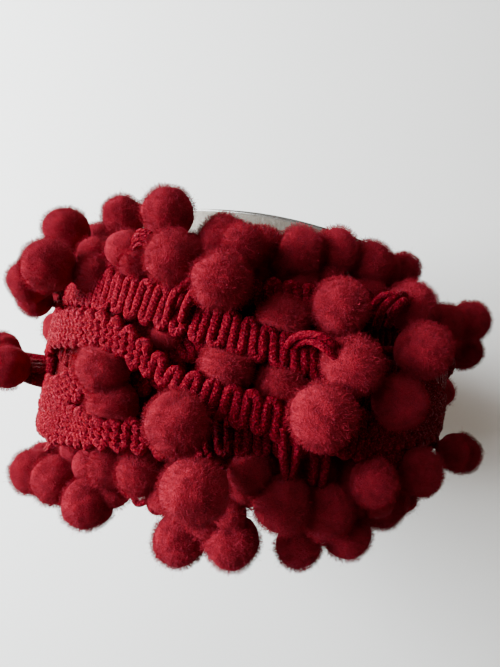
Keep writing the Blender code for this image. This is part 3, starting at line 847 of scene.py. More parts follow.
@dataclass
class GimpBraid:
    """A flat gimp braid: one cord folded to and fro across the braid's width."""

    form: WoundForm
    clearance: Clearance
    half_width: float = 3.5 * MM
    pitch: float = 1.85 * MM
    cord_radius: float = 1.06 * MM
    straight_points: int = 11
    loop_points: int = 3
    sides: int = 8
    uneven_reach: float = 0.07  # share of the half width
    uneven_pitch: float = 0.1
    uneven_cord: float = 0.05
    thinnest: float = 0.65  # share of the cord's radius, as are the next two
    thickest: float = 1.3
    core_clear: float = 0.85
    heading_passes: int = 4
    sunk: float = 1.6 * MM  # of the turns below, under the form
    bobble: float = 1.5 * MM  # from one bobble of the knitted side to the next
    bobble_depth: float = 0.3
    bobble_sway: float = 0.32 * MM

    def fold(
        self, length: float, rng: np.random.Generator
    ) -> tuple[np.ndarray, np.ndarray, np.ndarray]:
        """Fold the cord to and fro.

        Args:
            length: The braid's length, in metres.
            rng: The source of the folds' unevenness.

        Returns:
            For each point of the cord, its place along the braid in metres, its share of the half
            width and how far it is past the end of the straight part, in metres.
        """
        count = int(length / self.pitch)
        along, share, past = [], [], []
        for finger in range(count):
            side = 1.0 if finger % 2 else -1.0
            reach = 1 + self.uneven_reach * rng.uniform(-1, 1)
            start = finger * self.pitch + self.uneven_pitch * self.pitch * rng.uniform(-1, 1)
            for place in np.linspace(-1, 1, self.straight_points):
                along.append(start)
                share.append(side * place * reach)
                past.append(0.0)
            for step in range(1, self.loop_points + 1):
                bend = math.pi * step / (self.loop_points + 1)
                along.append(start + self.pitch / 2 * (1 - math.cos(bend)))
                share.append(side * reach)
                past.append(side * math.sin(bend) * self.pitch / 2)
        return np.array(along), np.array(share), np.array(past)

    def on_form(self, route: Route, turned: np.ndarray, across: np.ndarray) -> np.ndarray:
        """Find a braid's points where it lies on the form and on the turns under it.

        Args:
            route: The braid's middle line.
            turned: Degrees round the core.
            across: Metres across the form from its low end.

        Returns:
            The points, one in each row.
        """
        form = self.form
        if route.turn is None:
            return form.place(turned, across, np.full(len(turned), -self.sunk))
        places = form.sample(form.points[..., 1:2], turned, across)[:, 0]
        under = form.heap(turned, places, route.turn)
        lift = form.braid_rise - self.cord_radius + (1 - form.packing) * under
        return form.place(turned, across, lift)

    def cord_path(self, route: Route, rng: np.random.Generator) -> tuple[np.ndarray, np.ndarray]:
        """Lay the folded cord along a route.

        Args:
            route: The braid's middle line.
            rng: The source of the cord's unevenness.

        Returns:
            The cord's points and its radius at each.
        """
        core = self.form.core
        middle = self.on_form(route, route.turned, route.across)
        if route.shown is not None:
            over = core.point(route.turned, route.along, route.out)
            middle = middle + (over - middle) * route.shown[:, None]
        steps = np.diff(middle, axis=0)
        reach = np.concatenate([[0.0], np.cumsum(np.linalg.norm(steps, axis=1))])
        heading = np.arctan2(steps[:, 1], np.hypot(steps[:, 0], steps[:, 2]))
        heading = soften(np.concatenate([heading, heading[-1:]]), self.heading_passes)
        out = core.polar(middle)[1]
        along, share, past = self.fold(reach[-1], rng)
        along = np.clip(along, 0.0, reach[-1])

        def at(values: np.ndarray | None) -> np.ndarray:
            """Read one of the middle line's values at each point of the cord, 0 if it has none."""
            return np.zeros(len(along)) if values is None else np.interp(along, reach, values)

        half = self.half_width if route.half_width is None else at(route.half_width)
        aside = share * (half - self.pitch / 2) + past
        knit = at(route.knit)
        wave = math.tau * aside / self.bobble
        ahead = aside * np.tan(np.radians(at(route.lean))) + knit * self.bobble_sway * np.sin(wave)
        cosine, sine = np.cos(at(heading)), np.sin(at(heading))
        turned = at(route.turned) + np.degrees((ahead * cosine - aside * sine) / at(out))
        sideways = aside * cosine + ahead * sine
        path = self.on_form(route, turned, at(route.across) + sideways)
        if route.shown is not None:
            over = core.point(turned, at(route.along) + sideways, at(route.out))
            path = path + (over - path) * at(route.shown)[:, None]
        radii = self.cord_radius * (1 + self.uneven_cord * rng.standard_normal(len(path)))
        radii = radii * (1 + self.bobble_depth * knit * np.cos(wave))
        radii = np.clip(radii, self.thinnest * self.cord_radius, self.thickest * self.cord_radius)
        path = self.clearance.off_core(soften(path, 1), self.core_clear * self.cord_radius)
        return path, radii

    def build(
        self, name: str, route: Route, seed: int, material: bpy.types.Material
    ) -> bpy.types.Object:
        """Build one braid.

        Args:
            name: The piece's name.
            route: The braid's middle line.
            seed: The seed of its unevenness.
            material: The cord's material.

        Returns:
            The piece.
        """
        points, radii = self.cord_path(route, np.random.default_rng(seed))
        return link_object(name, tube_mesh(name, [points], [radii], self.sides), material)


@dataclass
class Winding:
    """The wound trim: its inner layers, the turns under the outer ones and the turns that show."""

    form: WoundForm
    clearance: Clearance
    step: float = 1.5  # degrees round the core
    ease: float = 14.0  # degrees over which a turn rises off the form where it starts to show
    ease_passes: int = 2
    under_count: int = 8
    under_sway: float = 6.0 * MM
    under_waves: tuple[int, ...] = (2, 3, 4)  # round the core, of each turn below in turn
    under_shift: float = 95.0  # degrees from one turn below to the next
    base_sunk: float = 2.0 * MM
    base_clear: float = 0.3 * MM
    base_merge: float = 0.01 * MM
    base_columns: int = 180
    base_rows: int = 48
    routes: list[Route] = field(init=False)

    def __post_init__(self) -> None:
        """Lay out the turns that show."""
        self.routes = [self.outer_route(turn) for turn in range(len(TURNS))]

    def round_core(self) -> np.ndarray:
        """The angles of a route's points, once round the core."""
        return np.arange(-180.0, 180.0 + self.step, self.step)

    def outer_route(self, turn: int) -> Route:
        """Lay the middle line of one of the turns that show.

        Args:
            turn: The turn's number, from 0 at the inner one.

        Returns:
            The route.
        """
        turned = self.round_core()
        angles, *columns = np.array([values for number, *values in SHOWN if number == turn]).T
        along, out, half, lean, knit = (
            soften(np.interp(turned, angles, column), self.ease_passes) for column in columns
        )
        start = smooth_step((turned - angles[0]) / self.ease)
        shown = start * smooth_step((angles[-1] - turned) / self.ease)
        hidden = self.form.turn_along(turn, turned)
        along = hidden + (along * MM - hidden) * shown
        across = self.form.across_at(turned, along)
        return Route(turned, along, across, turn, out * MM, half * MM, lean, knit, shown)

    def under_route(self, number: int) -> Route:
        """Lay the middle line of one of the turns below, which wander over the form.

        Args:
            number: The turn's number, from 0 at the form's low end.

        Returns:
            The route.
        """
        turned = self.round_core()
        lane = (number + 0.5) / self.under_count
        sway = self.under_sway * math.sin(math.pi * lane)
        waves = self.under_waves[number % len(self.under_waves)]
        wave = np.sin(np.radians(waves * turned + self.under_shift * number))
        across = lane * np.interp(turned, *self.width_knots()) + sway * wave
        return Route(turned, np.zeros_like(turned), across)

    def width_knots(self) -> tuple[np.ndarray, np.ndarray]:
        """The form's width across at each of its columns, closed over the full turn."""
        turned = np.arange(self.form.columns + 1) * 360.0 / self.form.columns - 180.0
        return turned, np.append(self.form.widths, self.form.widths[0])

    def build_base(self, material: bpy.types.Material) -> bpy.types.Object:
        """Build the inner layers as one closed form round the core.

        Args:
            material: The inner layers' material, the cord's darker copy as painted shade.

        Returns:
            The piece.
        """
        shape = bmesh.new()
        columns, rows = self.base_columns, self.base_rows
        bmesh.ops.create_grid(shape, x_segments=columns, y_segments=rows, size=1.0)
        spots = np.array([vert.co for vert in shape.verts])
        turned = 180.0 * spots[:, 0]
        widths = np.interp(turned, *self.width_knots())
        across = (spots[:, 1] + 1) / 2 * widths
        places = self.form.place(turned, across, np.full(len(spots), -self.base_sunk))
        places = self.clearance.press(places, self.base_clear)
        for vert, place in zip(shape.verts, places):
            vert.co = place
        bmesh.ops.remove_doubles(shape, verts=shape.verts, dist=self.base_merge)
        edges = [edge for edge in shape.edges if edge.is_boundary]
        bmesh.ops.bridge_loops(shape, edges=edges)
        return finish_bmesh("winding_base", shape, material)

    def build(self, cord: bpy.types.Material, base: bpy.types.Material) -> list[bpy.types.Object]:
        """Build every layer.

        Args:
            cord: The braids' material.
            base: The inner layers' material, the cord's darker copy as painted shade.

        Returns:
            The pieces, the inner layers first.
        """
        under = GimpBraid(self.form, self.clearance, straight_points=3, loop_points=2, sides=6)
        outer = GimpBraid(self.form, self.clearance)
        pieces = [self.build_base(base)]
        for number in range(self.under_count):
            route = self.under_route(number)
            pieces.append(under.build(f"braid_under_{number + 1}", route, SEED + number, base))
        for turn, route in enumerate(self.routes):
            pieces.append(outer.build(f"braid_turn_{turn + 1}", route, 2 * SEED + turn, cord))
        return pieces


@dataclass(frozen=True)
class FibreShape:
    """A fibre's width, its usual length, and how far it leans for each 1 that it stands up."""

    width: float
    length: float
    lean: float


class Fibre(Enum):
    """The kinds of fibre on a pompom: the short cut pile, and the few that stand out of it."""

    SHORT = FibreShape(0.06 * MM, 0.85 * MM, 0.55)
    STRAY = FibreShape(0.045 * MM, 1.7 * MM, 0.825)


@dataclass
class PompomPile:
    """The pompoms of the clumps: lumpy balls pressed against each other, with a cut pile."""

    clearance: Clearance
    routes: list[Route]
    detail: int = 4
    between_detail: int = 3
    turn_step: float = 2.4  # radians from one ball to the next
    turn_axis: Point = (0.3, 0.5, 0.8)
    noise_step: Point = (7.3, 2.1, 5.9)  # from one ball's lumps to the next's
    band_reach: float = 0.95 * MM  # from a braid's middle down to the balls under it
    band_slope: float = 8.0  # how steeply a ball comes up beside a braid's edge
    band_over: float = 0.3 * MM  # how far over a ball's middle a braid is to press it
    band_shown: float = 0.5
    most_pressed: float = 0.8  # share of the radius
    lump_size: float = 3.2 * MM
    lump_depth: float = 0.085  # share of the radius
    grain_size: float = 1.3 * MM
    grain_depth: float = 0.025
    pressed: float = 0.5  # share of what is past the meeting plane of two balls
    press_ease: float = 0.5 * MM
    ball_lowest: float = 0.1 * MM
    fibres: int = 5600
    fibres_below: int = 2000
    fibres_between: int = 1500
    strays: int = 150
    faced: float = -0.3  # least cosine, towards the outside of the roll, of the sides with fibres
    rooted: float = 0.12 * MM
    shortest: float = 0.4  # share of a fibre's usual length
    longest: float = 1.25
    tip_lowest: float = 0.05 * MM
    shaded_root_share: float = 0.3  # share of the tip's brightness at the root, painted shade

    @staticmethod
    def sphere(detail: int) -> tuple[np.ndarray, np.ndarray]:
        """Make the ball that a pompom starts from.

        Args:
            detail: How many times to divide it.

        Returns:
            Its points and its faces.
        """
        shape = bmesh.new()
        bmesh.ops.create_icosphere(shape, subdivisions=detail, radius=1.0)
        points = np.array([vert.co for vert in shape.verts])
        faces = np.array([[vert.index for vert in face.verts] for face in shape.faces])
        shape.free()
        return points, faces

    def under_bands(self, pompom: Pompom, world: np.ndarray) -> np.ndarray:
        """Press a ball down where a braid runs over it.

        Args:
            pompom: The ball's pompom.
            world: The ball's points.

        Returns:
            The moved points.
        """
        core = self.clearance.core
        own_turned, own_out = core.polar(pompom.middle)
        deepest = own_out - self.most_pressed * pompom.radius
        turned, highest = core.polar(world)
        for route in self.routes:
            hidden = route.read(route.shown, own_turned) < self.band_shown
            if hidden or route.read(route.out, own_turned) < own_out + self.band_over:
                continue
            off = np.abs(world[:, 1] - route.read(route.along, turned))
            past = np.maximum(off - route.read(route.half_width, turned), 0.0)
            top = route.read(route.out, turned) - self.band_reach + self.band_slope * past
            highest = np.minimum(highest, np.maximum(top, deepest))
        return core.at_distance(world, highest)

    def ball(self, pompom: Pompom, index: int, points: np.ndarray) -> np.ndarray:
        """Shape one pompom's lumpy ball and press it against its neighbours.

        Args:
            pompom: The pompom.
            index: Its number, which turns the ball and its lumps.
            points: The points of a ball of radius 1.

        Returns:
            The ball's points in the world.
        """
        middle, radius = pompom.middle, pompom.radius
        turn = Matrix.Rotation(self.turn_step * index, 3, Vector(self.turn_axis))
        points = points @ np.array(turn).T
        shift = Vector(self.noise_step) * index
        lumps, grains = radius / self.lump_size, radius / self.grain_size
        swell = [
            self.lump_depth * noise.noise(Vector(point) * lumps + shift)
            + self.grain_depth * noise.noise(Vector(point) * grains + shift)
            for point in points
        ]
        world = middle + points * (radius * (1 + np.array(swell)))[:, None]
        for other in self.clearance.pompoms:
            away = other.middle - middle
            distance = float(np.linalg.norm(away))
            if other is pompom or distance > radius + other.radius:
                continue
            toward = away / distance
            meet = distance * radius / (radius + other.radius)
            past = (world - middle) @ toward - meet
            past = (past + np.sqrt(past**2 + self.press_ease**2)) / 2
            world = world - toward * (past * self.pressed)[:, None]
        world[:, 2] = np.maximum(world[:, 2], self.ball_lowest)
        return self.under_bands(pompom, world)

    def fibre_count(self, pompom: Pompom, fibre: Fibre) -> int:
        """Count the fibres of a kind on a pompom, most where it shows from above.

        Args:
            pompom: The pompom.
            fibre: The kind of fibre.

        Returns:
            How many it gets.
        """
        if fibre is Fibre.STRAY:
            return self.strays
        if pompom.clump == BETWEEN_CLUMP:
            return self.fibres_between
        shows = pompom.middle[2] > self.clearance.core.axis_height
        return self.fibres if shows else self.fibres_below

    def pile(
        self,
        points: np.ndarray,
        faces: np.ndarray,
        pompom: Pompom,
        fibre: Fibre,
        rng: np.random.Generator,
    ) -> tuple[np.ndarray, np.ndarray]:
        """Stand fibres on a ball, on the sides that face out.

        Args:
            points: The ball's points.
            faces: The ball's faces.
            pompom: The ball's pompom.
            fibre: The kind of fibre.
            rng: The source of the fibres' places and leans.

        Returns:
            The fibres' points, three for each, and how bright each point is, 0 to 1, with painted
            shade at the root.
        """
        core, middle, shape = self.clearance.core, pompom.middle, fibre.value
        count = self.fibre_count(pompom, fibre)
        roll_middle = core.point(0.0, (core.low_end + core.high_end) / 2, 0.0)
        outwards = unit(points[faces].mean(axis=1) - middle) @ unit(middle - roll_middle)
        corners = points[rng.choice(faces[outwards > self.faced], count)]
        first, second = rng.random((2, count, 1))
        flip = first + second > 1
        first, second = np.where(flip, 1 - first, first), np.where(flip, 1 - second, second)
        roots = corners[:, 0] + first * (corners[:, 1] - corners[:, 0])
        roots = roots + second * (corners[:, 2] - corners[:, 0])
        outward = unit(roots - middle)
        lean = unit(outward + shape.lean * rng.standard_normal((count, 3)))
        side = unit(np.cross(lean, rng.standard_normal((count, 3)))) * shape.width / 2
        reach = shape.length * rng.uniform(self.shortest, self.longest, (count, 1))
        roots = roots - outward * self.rooted
        tips = roots + lean * (reach + self.rooted)
        tips[:, 2] = np.maximum(tips[:, 2], self.tip_lowest)
        spots = np.stack([roots, tips - side, tips + side], axis=1).reshape(-1, 3)
        bright = rng.random(count) ** 2
        # a random tone for each fibre, painted darker at its root as shade
        return spots, np.stack([self.shaded_root_share * bright, bright, bright], axis=1).ravel()

    def build(self, clump: str, material: bpy.types.Material) -> bpy.types.Object:
        """Build a clump's pompoms as one piece.

        Args:
            clump: The clump's name.
            material: The pile's material.

        Returns:
            The piece.
        """
        name = f"pile_{clump}"
        spots, faces, heights = [], [], []
        count = 0
        sphere, shape = self.sphere(self.between_detail if clump == BETWEEN_CLUMP else self.detail)
        for index, pompom in enumerate(self.clearance.pompoms):
            if pompom.clump != clump:
                continue
            rng = np.random.default_rng(SEED + index)
            ball = self.ball(pompom, index, sphere)
            groups = [(ball, shape, np.zeros(len(ball)))]
            for fibre in Fibre:
                fibres, bright = self.pile(ball, shape, pompom, fibre, rng)
                groups.append((fibres, np.arange(len(fibres)).reshape(-1, 3), bright))
            for points, triangles, rise in groups:
                spots.append(points)
                faces.append(triangles + count)
                heights.append(rise)
                count += len(points)
        mesh = mesh_from_arrays(name, np.concatenate(spots), np.concatenate(faces))
        point_attribute(mesh, TONE_AND_TIP_LIGHT, np.concatenate(heights))
        return link_object(name, mesh, material)


@dataclass
class CordLoops:
    """The pair of cords that each pompom hangs on."""

    form: WoundForm
    clearance: Clearance
    cord_radius: float = 0.85 * MM
    spread: float = 1.1 * MM
    tucked: float = 2.0 * MM
    in_ball: float = 0.6  # share of the pompom's radius
    neck_spread: float = 0.6  # share of the cord's radius
    bow: float = 0.3 * MM
    points: int = 9
    strand_points: int = 13
    sides: int = 6

    def root(self, pompom: Pompom) -> tuple[np.ndarray, np.ndarray]:
        """Find where a pompom's cords leave the braid.

        Args:
            pompom: The pompom.

        Returns:
            The form's point nearest to the pompom, and the way round the core there.
        """
        distance = np.linalg.norm(self.form.points - pompom.middle, axis=2)
        column, row = np.unravel_index(int(distance.argmin()), distance.shape)
        following = self.form.points[(column + 1) % self.form.columns, row]
        here = self.form.points[column, row]
        return here + self.form.normals[column, row] * self.cord_radius, unit(following - here)

    def strand(self, points: tuple[Point, ...]) -> np.ndarray:
        """Lay a single cord.

        Args:
            points: The angle, place along Y and distance from the axis of each point, as tabled.

        Returns:
            The cord's points.
        """
        place = np.linspace(0.0, len(points) - 1, self.strand_points)
        turned, along, out = (curve_through(column, place) for column in np.array(points).T)
        return self.clearance.core.point(turned, along * MM, out * MM)

    def pair(self, pompom: Pompom, index: int) -> list[np.ndarray]:
        """Lay a pompom's two cords.

        Args:
            pompom: The pompom.
            index: Its number, which bows its cords to one side or the other.

        Returns:
            Each cord's points.
        """
        root, run = self.root(pompom)
        away = unit(root - pompom.middle)
        end = pompom.middle + away * pompom.radius * self.in_ball
        lift = np.cross(run, away) * self.bow * math.sin(index)
        share = np.linspace(0.0, 1.0, self.points)[:, None]
        cords = []
        for side in (-run, run):
            start = root + side * self.spread + away * self.tucked
            neck = end + side * self.cord_radius * self.neck_spread
            bend = (start + neck) / 2 + side * self.bow + lift
            start_part, bend_part = start * (1 - share) ** 2, 2 * bend * share * (1 - share)
            cords.append(start_part + bend_part + neck * share**2)
        return cords

    def build(self, material: bpy.types.Material) -> bpy.types.Object:
        """Build the single cords and every pompom's pair as one piece.

        Args:
            material: The cords' material.

        Returns:
            The piece.
        """
        paths = [self.strand(points) for _, points in STRANDS]
        thickness = [np.full(self.strand_points, radius * MM) for radius, _ in STRANDS]
        for index, pompom in enumerate(self.clearance.pompoms):
            for path in self.pair(pompom, index):
                paths.append(path)
                thickness.append(np.full(self.points, self.cord_radius))
        mesh = tube_mesh("cord_loops", paths, thickness, self.sides)
        return link_object("cord_loops", mesh, material)


@dataclass
class CoreTube:
    """The core: a card tube under a thin clear film that stands a little past its rim."""

    size: CoreSize
    wall: float = 2.6 * MM
    steps: int = 160
    corner: float = 0.25 * MM
    wave: float = 0.22 * MM
    film_off: float = 0.12 * MM
    film_wall: float = 0.08 * MM
    film_past: float = 0.35 * MM
    sharp_angle: float = 40.0

    def rim_wave(self, turned: float) -> float:
        """Find how far the rim stands out along Y.

        Args:
            turned: Degrees round the core.

        Returns:
            The distance, in metres.
        """
        angle = math.radians(turned)
        waves = (part * math.sin(count * angle + shift) for part, count, shift in RIM_WAVES)
        return self.wave * sum(waves)

    def spin(
        self, name: str, profile: list[tuple[float, float]], material: bpy.types.Material
    ) -> bpy.types.Object:
        """Turn a closed profile round the core's axis.

        Args:
            name: The piece's name.
            profile: Distance from the axis and place along Y of each corner.
            material: The piece's material.

        Returns:
            The turned piece, its high end wavy.
        """
        shape = bmesh.new()
        verts = [shape.verts.new((out, along, self.size.axis_height)) for out, along in profile]
        edges = [shape.edges.new(pair) for pair in zip(verts, verts[1:] + verts[:1])]
        bmesh.ops.spin(
            shape,
            geom=verts + edges,
            cent=(0.0, 0.0, self.size.axis_height),
            axis=(0.0, 1.0, 0.0),
            angle=math.tau,
            steps=self.steps,
            use_merge=True,
        )
        bmesh.ops.remove_doubles(shape, verts=shape.verts, dist=MERGE_DISTANCE)
        middle = (self.size.low_end + self.size.high_end) / 2
        for vert in shape.verts:
            if vert.co.y > middle:
                vert.co.y += self.rim_wave(self.size.polar(np.array(vert.co))[0])
        piece = finish_bmesh(name, shape, material)
        piece.data.set_sharp_from_angle(angle=math.radians(self.sharp_angle))
        return piece

    def build(self, card: bpy.types.Material, film: bpy.types.Material) -> list[bpy.types.Object]:
        """Build the tube and its film.

        Args:
            card: The tube's material.
            film: The film's material.

        Returns:
            The two pieces.
        """
        outer, inner = self.size.radius - self.film_off, self.size.radius - self.wall
        low, high, corner = self.size.low_end, self.size.high_end - self.film_past, self.corner
        tube = [
            (inner, low),
            (outer - corner, low),
            (outer, low + corner),
            (outer, high - corner),
            (outer - corner, high),
            (inner, high),
        ]
        skin, under, past = self.size.radius, self.size.radius - self.film_wall, self.size.high_end
        wrap = [(under, low), (skin, low), (skin, past), (under, past)]
        return [self.spin("core_tube", tube, card), self.spin("core_film", wrap, film)]


@dataclass
class NodeGraph:
    """Short hand for building a node tree."""

    FIRST_COLOUR, SECOND_COLOUR, MIXED_COLOUR = 6, 7, 2  # the Mix node's sockets for colours

    tree: bpy.types.NodeTree

    def add(self, kind: str, inputs: dict | None = None, **settings: object) -> bpy.types.Node:
        """Add a node.

        Args:
            kind: The node's type name without its ShaderNode prefix.
            inputs: Values or sockets for its inputs, by name or number.
            **settings: Values for the node's own properties.

        Returns:
            The node.
        """
        node = self.tree.nodes.new(f"ShaderNode{kind}")
        for name, value in settings.items():
            setattr(node, name, value)
        for name, value in (inputs or {}).items():
            if isinstance(value, Socket):
                self.tree.links.new(value, node.inputs[name])
            else:
                node.inputs[name].default_value = value
        return node

    def link(self, node: bpy.types.Node, **sockets: Socket) -> None:
        """Link sockets to a node's inputs, which are named with underscores for spaces."""
        for name, socket in sockets.items():
            self.tree.links.new(socket, node.inputs[name.replace("_", " ")])

    def noise(
        self, vector: Socket, scale: Value, detail: float = 2.0, roughness: float = 0.5
    ) -> Socket:
        """Make noise.

        Args:
            vector: Where to read it.
            scale: Its features to the metre.
            detail: How many finer layers it has.
            roughness: How strong the finer layers are.

        Returns:
            A value from 0 to 1.
        """
        inputs = {"Vector": vector, "Scale": scale, "Detail": detail, "Roughness": roughness}
        return self.add("TexNoise", inputs).outputs["Fac"]

    def ramp(self, value: Socket, low: float, high: float) -> Socket:
        """Stretch a value so that low gives 0 and high gives 1."""
        inputs = {"Value": value, "From Min": low, "From Max": high}
        return self.add("MapRange", inputs).outputs["Result"]

    def span(self, share: Socket, low: float, high: float) -> Socket:
        """Turn a share of 0 to 1 into a value from low to high."""
        inputs = {"Value": share, "To Min": low, "To Max": high}
        return self.add("MapRange", inputs).outputs["Result"]

    def math(self, operation: str, *operands: Value) -> Socket:
        """Do one sum on up to three values or sockets."""
        return self.add("Math", dict(enumerate(operands)), operation=operation).outputs[0]

    def weigh(self, *parts: tuple[Socket, float]) -> Socket:
        """Add up sockets, each times its own share.

        Args:
            *parts: The sockets and their shares.

        Returns:
            The sum.
        """
        total = 0.0
        for socket, share in parts:
            total = self.math("MULTIPLY_ADD", socket, share, total)
        return total

    def mix(self, share: Value, first: Socket | Colour, second: Socket | Colour) -> Socket:
        """Mix two colours.

        Args:
            share: How much of the second to take.
            first: The first colour.
            second: The second colour.

        Returns:
            The mixed colour.
        """
        node = self.add("Mix", {"Factor": share}, data_type="RGBA")
        for number, value in ((self.FIRST_COLOUR, first), (self.SECOND_COLOUR, second)):
            if isinstance(value, Socket):
                self.tree.links.new(value, node.inputs[number])
            else:
                node.inputs[number].default_value = (*value, 1.0)
        return node.outputs[self.MIXED_COLOUR]

    def bump(self, height: Socket, depth: float) -> Socket:
        """A bumped normal from a height, with the depth in metres of a height of 1."""
        return self.add("Bump", {"Height": height, "Distance": depth}).outputs["Normal"]

    def coordinates(self) -> Socket:
        """The piece's own coordinates, in metres."""
        return self.add("TexCoord").outputs["Object"]

    def along_axis(self) -> Socket:
        """The piece's own place along Y, in metres."""
        return self.add("SeparateXYZ", {0: self.coordinates()}).outputs["Y"]


def new_material(
    name: str, roughness: float, **constants: object
) -> tuple[bpy.types.Material, NodeGraph, bpy.types.Node]:
    """Start a Principled material.

    Args:
        name: The material's name.
        roughness: Its roughness where nothing is linked.
        **constants: Other constants of the shader, with underscores for spaces.

    Returns:
        The material, its graph and its shader.
    """
    material = bpy.data.materials.new(name)
    material.use_nodes = True
    shader = material.node_tree.nodes["Principled BSDF"]
    for key, value in {"Roughness": roughness, **constants}.items():
        shader.inputs[key.replace("_", " ")].default_value = value
    return material, NodeGraph(material.node_tree), shader


@dataclass(frozen=True)
class FibreGrain:
    """The fine grain of fibres, a group that the pile, the braid, the card and the film share."""

    name: str = "fibre_grain"
    fine_detail: float = 1.0
    fine_range: tuple[float, float] = (0.32, 0.68)
    broad_range: tuple[float, float] = (0.3, 0.7)
    fine_height: float = 0.7

    def tree(self) -> bpy.types.NodeTree:
        """Build the group, or find it where it is built already.

        Returns:
            The group, which puts out a fine mask, a broad mask and a height.
        """
        if self.name in bpy.data.node_groups:
            return bpy.data.node_groups[self.name]
        tree = bpy.data.node_groups.new(self.name, "ShaderNodeTree")
        tree.interface.new_socket("Vector", in_out="INPUT", socket_type="NodeSocketVector")
        for name in ("Fine Scale", "Broad Scale"):
            tree.interface.new_socket(name, in_out="INPUT", socket_type="NodeSocketFloat")
        for name in ("Fine", "Broad", "Height"):
            tree.interface.new_socket(name, in_out="OUTPUT", socket_type="NodeSocketFloat")
        graph = NodeGraph(tree)
        given = tree.nodes.new("NodeGroupInput").outputs
        fine = graph.noise(given["Vector"], given["Fine Scale"], self.fine_detail)
        broad = graph.noise(given["Vector"], given["Broad Scale"])
        fine, broad = graph.ramp(fine, *self.fine_range), graph.ramp(broad, *self.broad_range)
        height = graph.math("MULTIPLY_ADD", fine, self.fine_height, broad)
        graph.link(tree.nodes.new("NodeGroupOutput"), Fine=fine, Broad=broad, Height=height)
        return tree

    def use(self, graph: NodeGraph, fine: float, broad: float) -> bpy.types.NodeOutputs:
        """Place the group in a material.

        Args:
            graph: The material's graph.
            fine: The fine grain's size, in metres.
            broad: The broad grain's size, in metres.

        Returns:
            The group's outputs: Fine, Broad and Height.
        """
        scales = {"Fine Scale": 1.0 / fine, "Broad Scale": 1.0 / broad}
        inputs = {"Vector": graph.coordinates(), **scales}
        return graph.add("Group", inputs, node_tree=self.tree()).outputs


@dataclass(frozen=True)
class PileFinish:
    """The pompoms' cut pile: random mottle, painted shade at fibre roots, painted light at their
    tips.
    """

    deep: Colour = (0.105, 0.0036, 0.0086)
    lit: Colour = (0.285, 0.0100, 0.0235)
    # painted light: the paler colour towards the fibres' tips
    tip: Colour = (0.42, 0.015, 0.034)
    tip_part: float = 0.8
    fine: float = 0.22 * MM
    broad: float = 2.2 * MM
    fine_part: float = 0.5
    broad_part: float = 0.5
    relief: float = 0.28 * MM

    def make(self) -> bpy.types.Material:
        """Build the finish.

        Returns:
            The material, which reads how bright each fibre is.
        """
        material, graph, shader = new_material(
            "pompom_pile",
            1.0,
            Specular_IOR_Level=0.02,
            Diffuse_Roughness=1.0,
            Subsurface_Weight=0.25,
            Subsurface_Radius=(1.0, 0.12, 0.16),
            Subsurface_Scale=3.0 * MM,
            Sheen_Weight=0.14,
            Sheen_Roughness=0.6,
            Sheen_Tint=(1.0, 0.13, 0.20, 1.0),
        )
        grain = FibreGrain().use(graph, self.fine, self.broad)
        share = graph.weigh((grain["Fine"], self.fine_part), (grain["Broad"], self.broad_part))
        # each fibre's random tone, with painted shade at its root and painted light at its tip
        bright = graph.add("Attribute", attribute_name=TONE_AND_TIP_LIGHT).outputs["Fac"]
        tips = graph.math("MULTIPLY", bright, self.tip_part)
        colour = graph.mix(tips, graph.mix(share, self.deep, self.lit), self.tip)
        graph.link(shader, Base_Color=colour, Normal=graph.bump(grain["Height"], self.relief))
        return material


@dataclass(frozen=True)
class CordFinish:
    """The braid's gimp cord: twisted filaments winding round it, painted shade between strands,
    painted glints.
    """

    name: str
    deep: Colour
    lit: Colour
    # painted highlight: the colour of the glints on the filaments
    painted_glint: Colour
    strands: float = 3.0
    lay: float = 2.4  # millimetres of cord in which a strand goes once round
    strand_height: float = 0.5
    # share of the colour that follows the strands, painted shade between them
    strand_shade_part: float = 0.3
    fine: float = 0.42 * MM
    broad: float = 1.5 * MM
    broad_part: float = 0.5
    glint_range: tuple[float, float] = (0.55, 0.9)
    glint_part: float = 0.85
    dull: float = 0.62
    shiny: float = 0.34
    relief: float = 0.25 * MM

    def strand_wave(self, graph: NodeGraph) -> Socket:
        """Follow the strands round the cord, from the cord's own UVs.

        Args:
            graph: The material's graph.

        Returns:
            A value from 0 between the strands to 1 on them.
        """
        spot = graph.add("SeparateXYZ", {0: graph.add("UVMap").outputs["UV"]}).outputs
        turns = graph.weigh((spot["X"], self.strands / self.lay), (spot["Y"], self.strands))
        wave = graph.math("SINE", graph.math("MULTIPLY", turns, math.tau))
        return graph.ramp(wave, -1.0, 1.0)

    def make(self) -> bpy.types.Material:
        """Build the finish.

        Returns:
            The material.
        """
        material, graph, shader = new_material(
            self.name,
            self.dull,
            Specular_IOR_Level=0.02,
            Specular_Tint=(1.0, 0.12, 0.16, 1.0),
            Diffuse_Roughness=1.0,
            Subsurface_Weight=0.35,
            Subsurface_Radius=(1.0, 0.12, 0.16),
            Subsurface_Scale=1.2 * MM,
        )
        grain = FibreGrain().use(graph, self.fine, self.broad)
        wave = self.strand_wave(graph)
        # painted shade between the strands, and a random broad tone
        share = graph.weigh((wave, self.strand_shade_part), (grain["Broad"], self.broad_part))
        # painted highlights: glints where the fine grain is high, made a little shinier too
        glints = graph.ramp(grain["Fine"], *self.glint_range)
        shown = graph.math("MULTIPLY", glints, self.glint_part)
        colour = graph.mix(shown, graph.mix(share, self.deep, self.lit), self.painted_glint)
        height = graph.math("MULTIPLY_ADD", wave, self.strand_height, grain["Height"])
        graph.link(
            shader,
            Base_Color=colour,
            Roughness=graph.span(glints, self.dull, self.shiny),
            Normal=graph.bump(height, self.relief),
        )
        return material


OUTER_CORD = CordFinish(
    "braid_cord",
    deep=(0.080, 0.0020, 0.0057),
    lit=(0.120, 0.0028, 0.0084),
    painted_glint=(0.26, 0.0082, 0.0235),
)
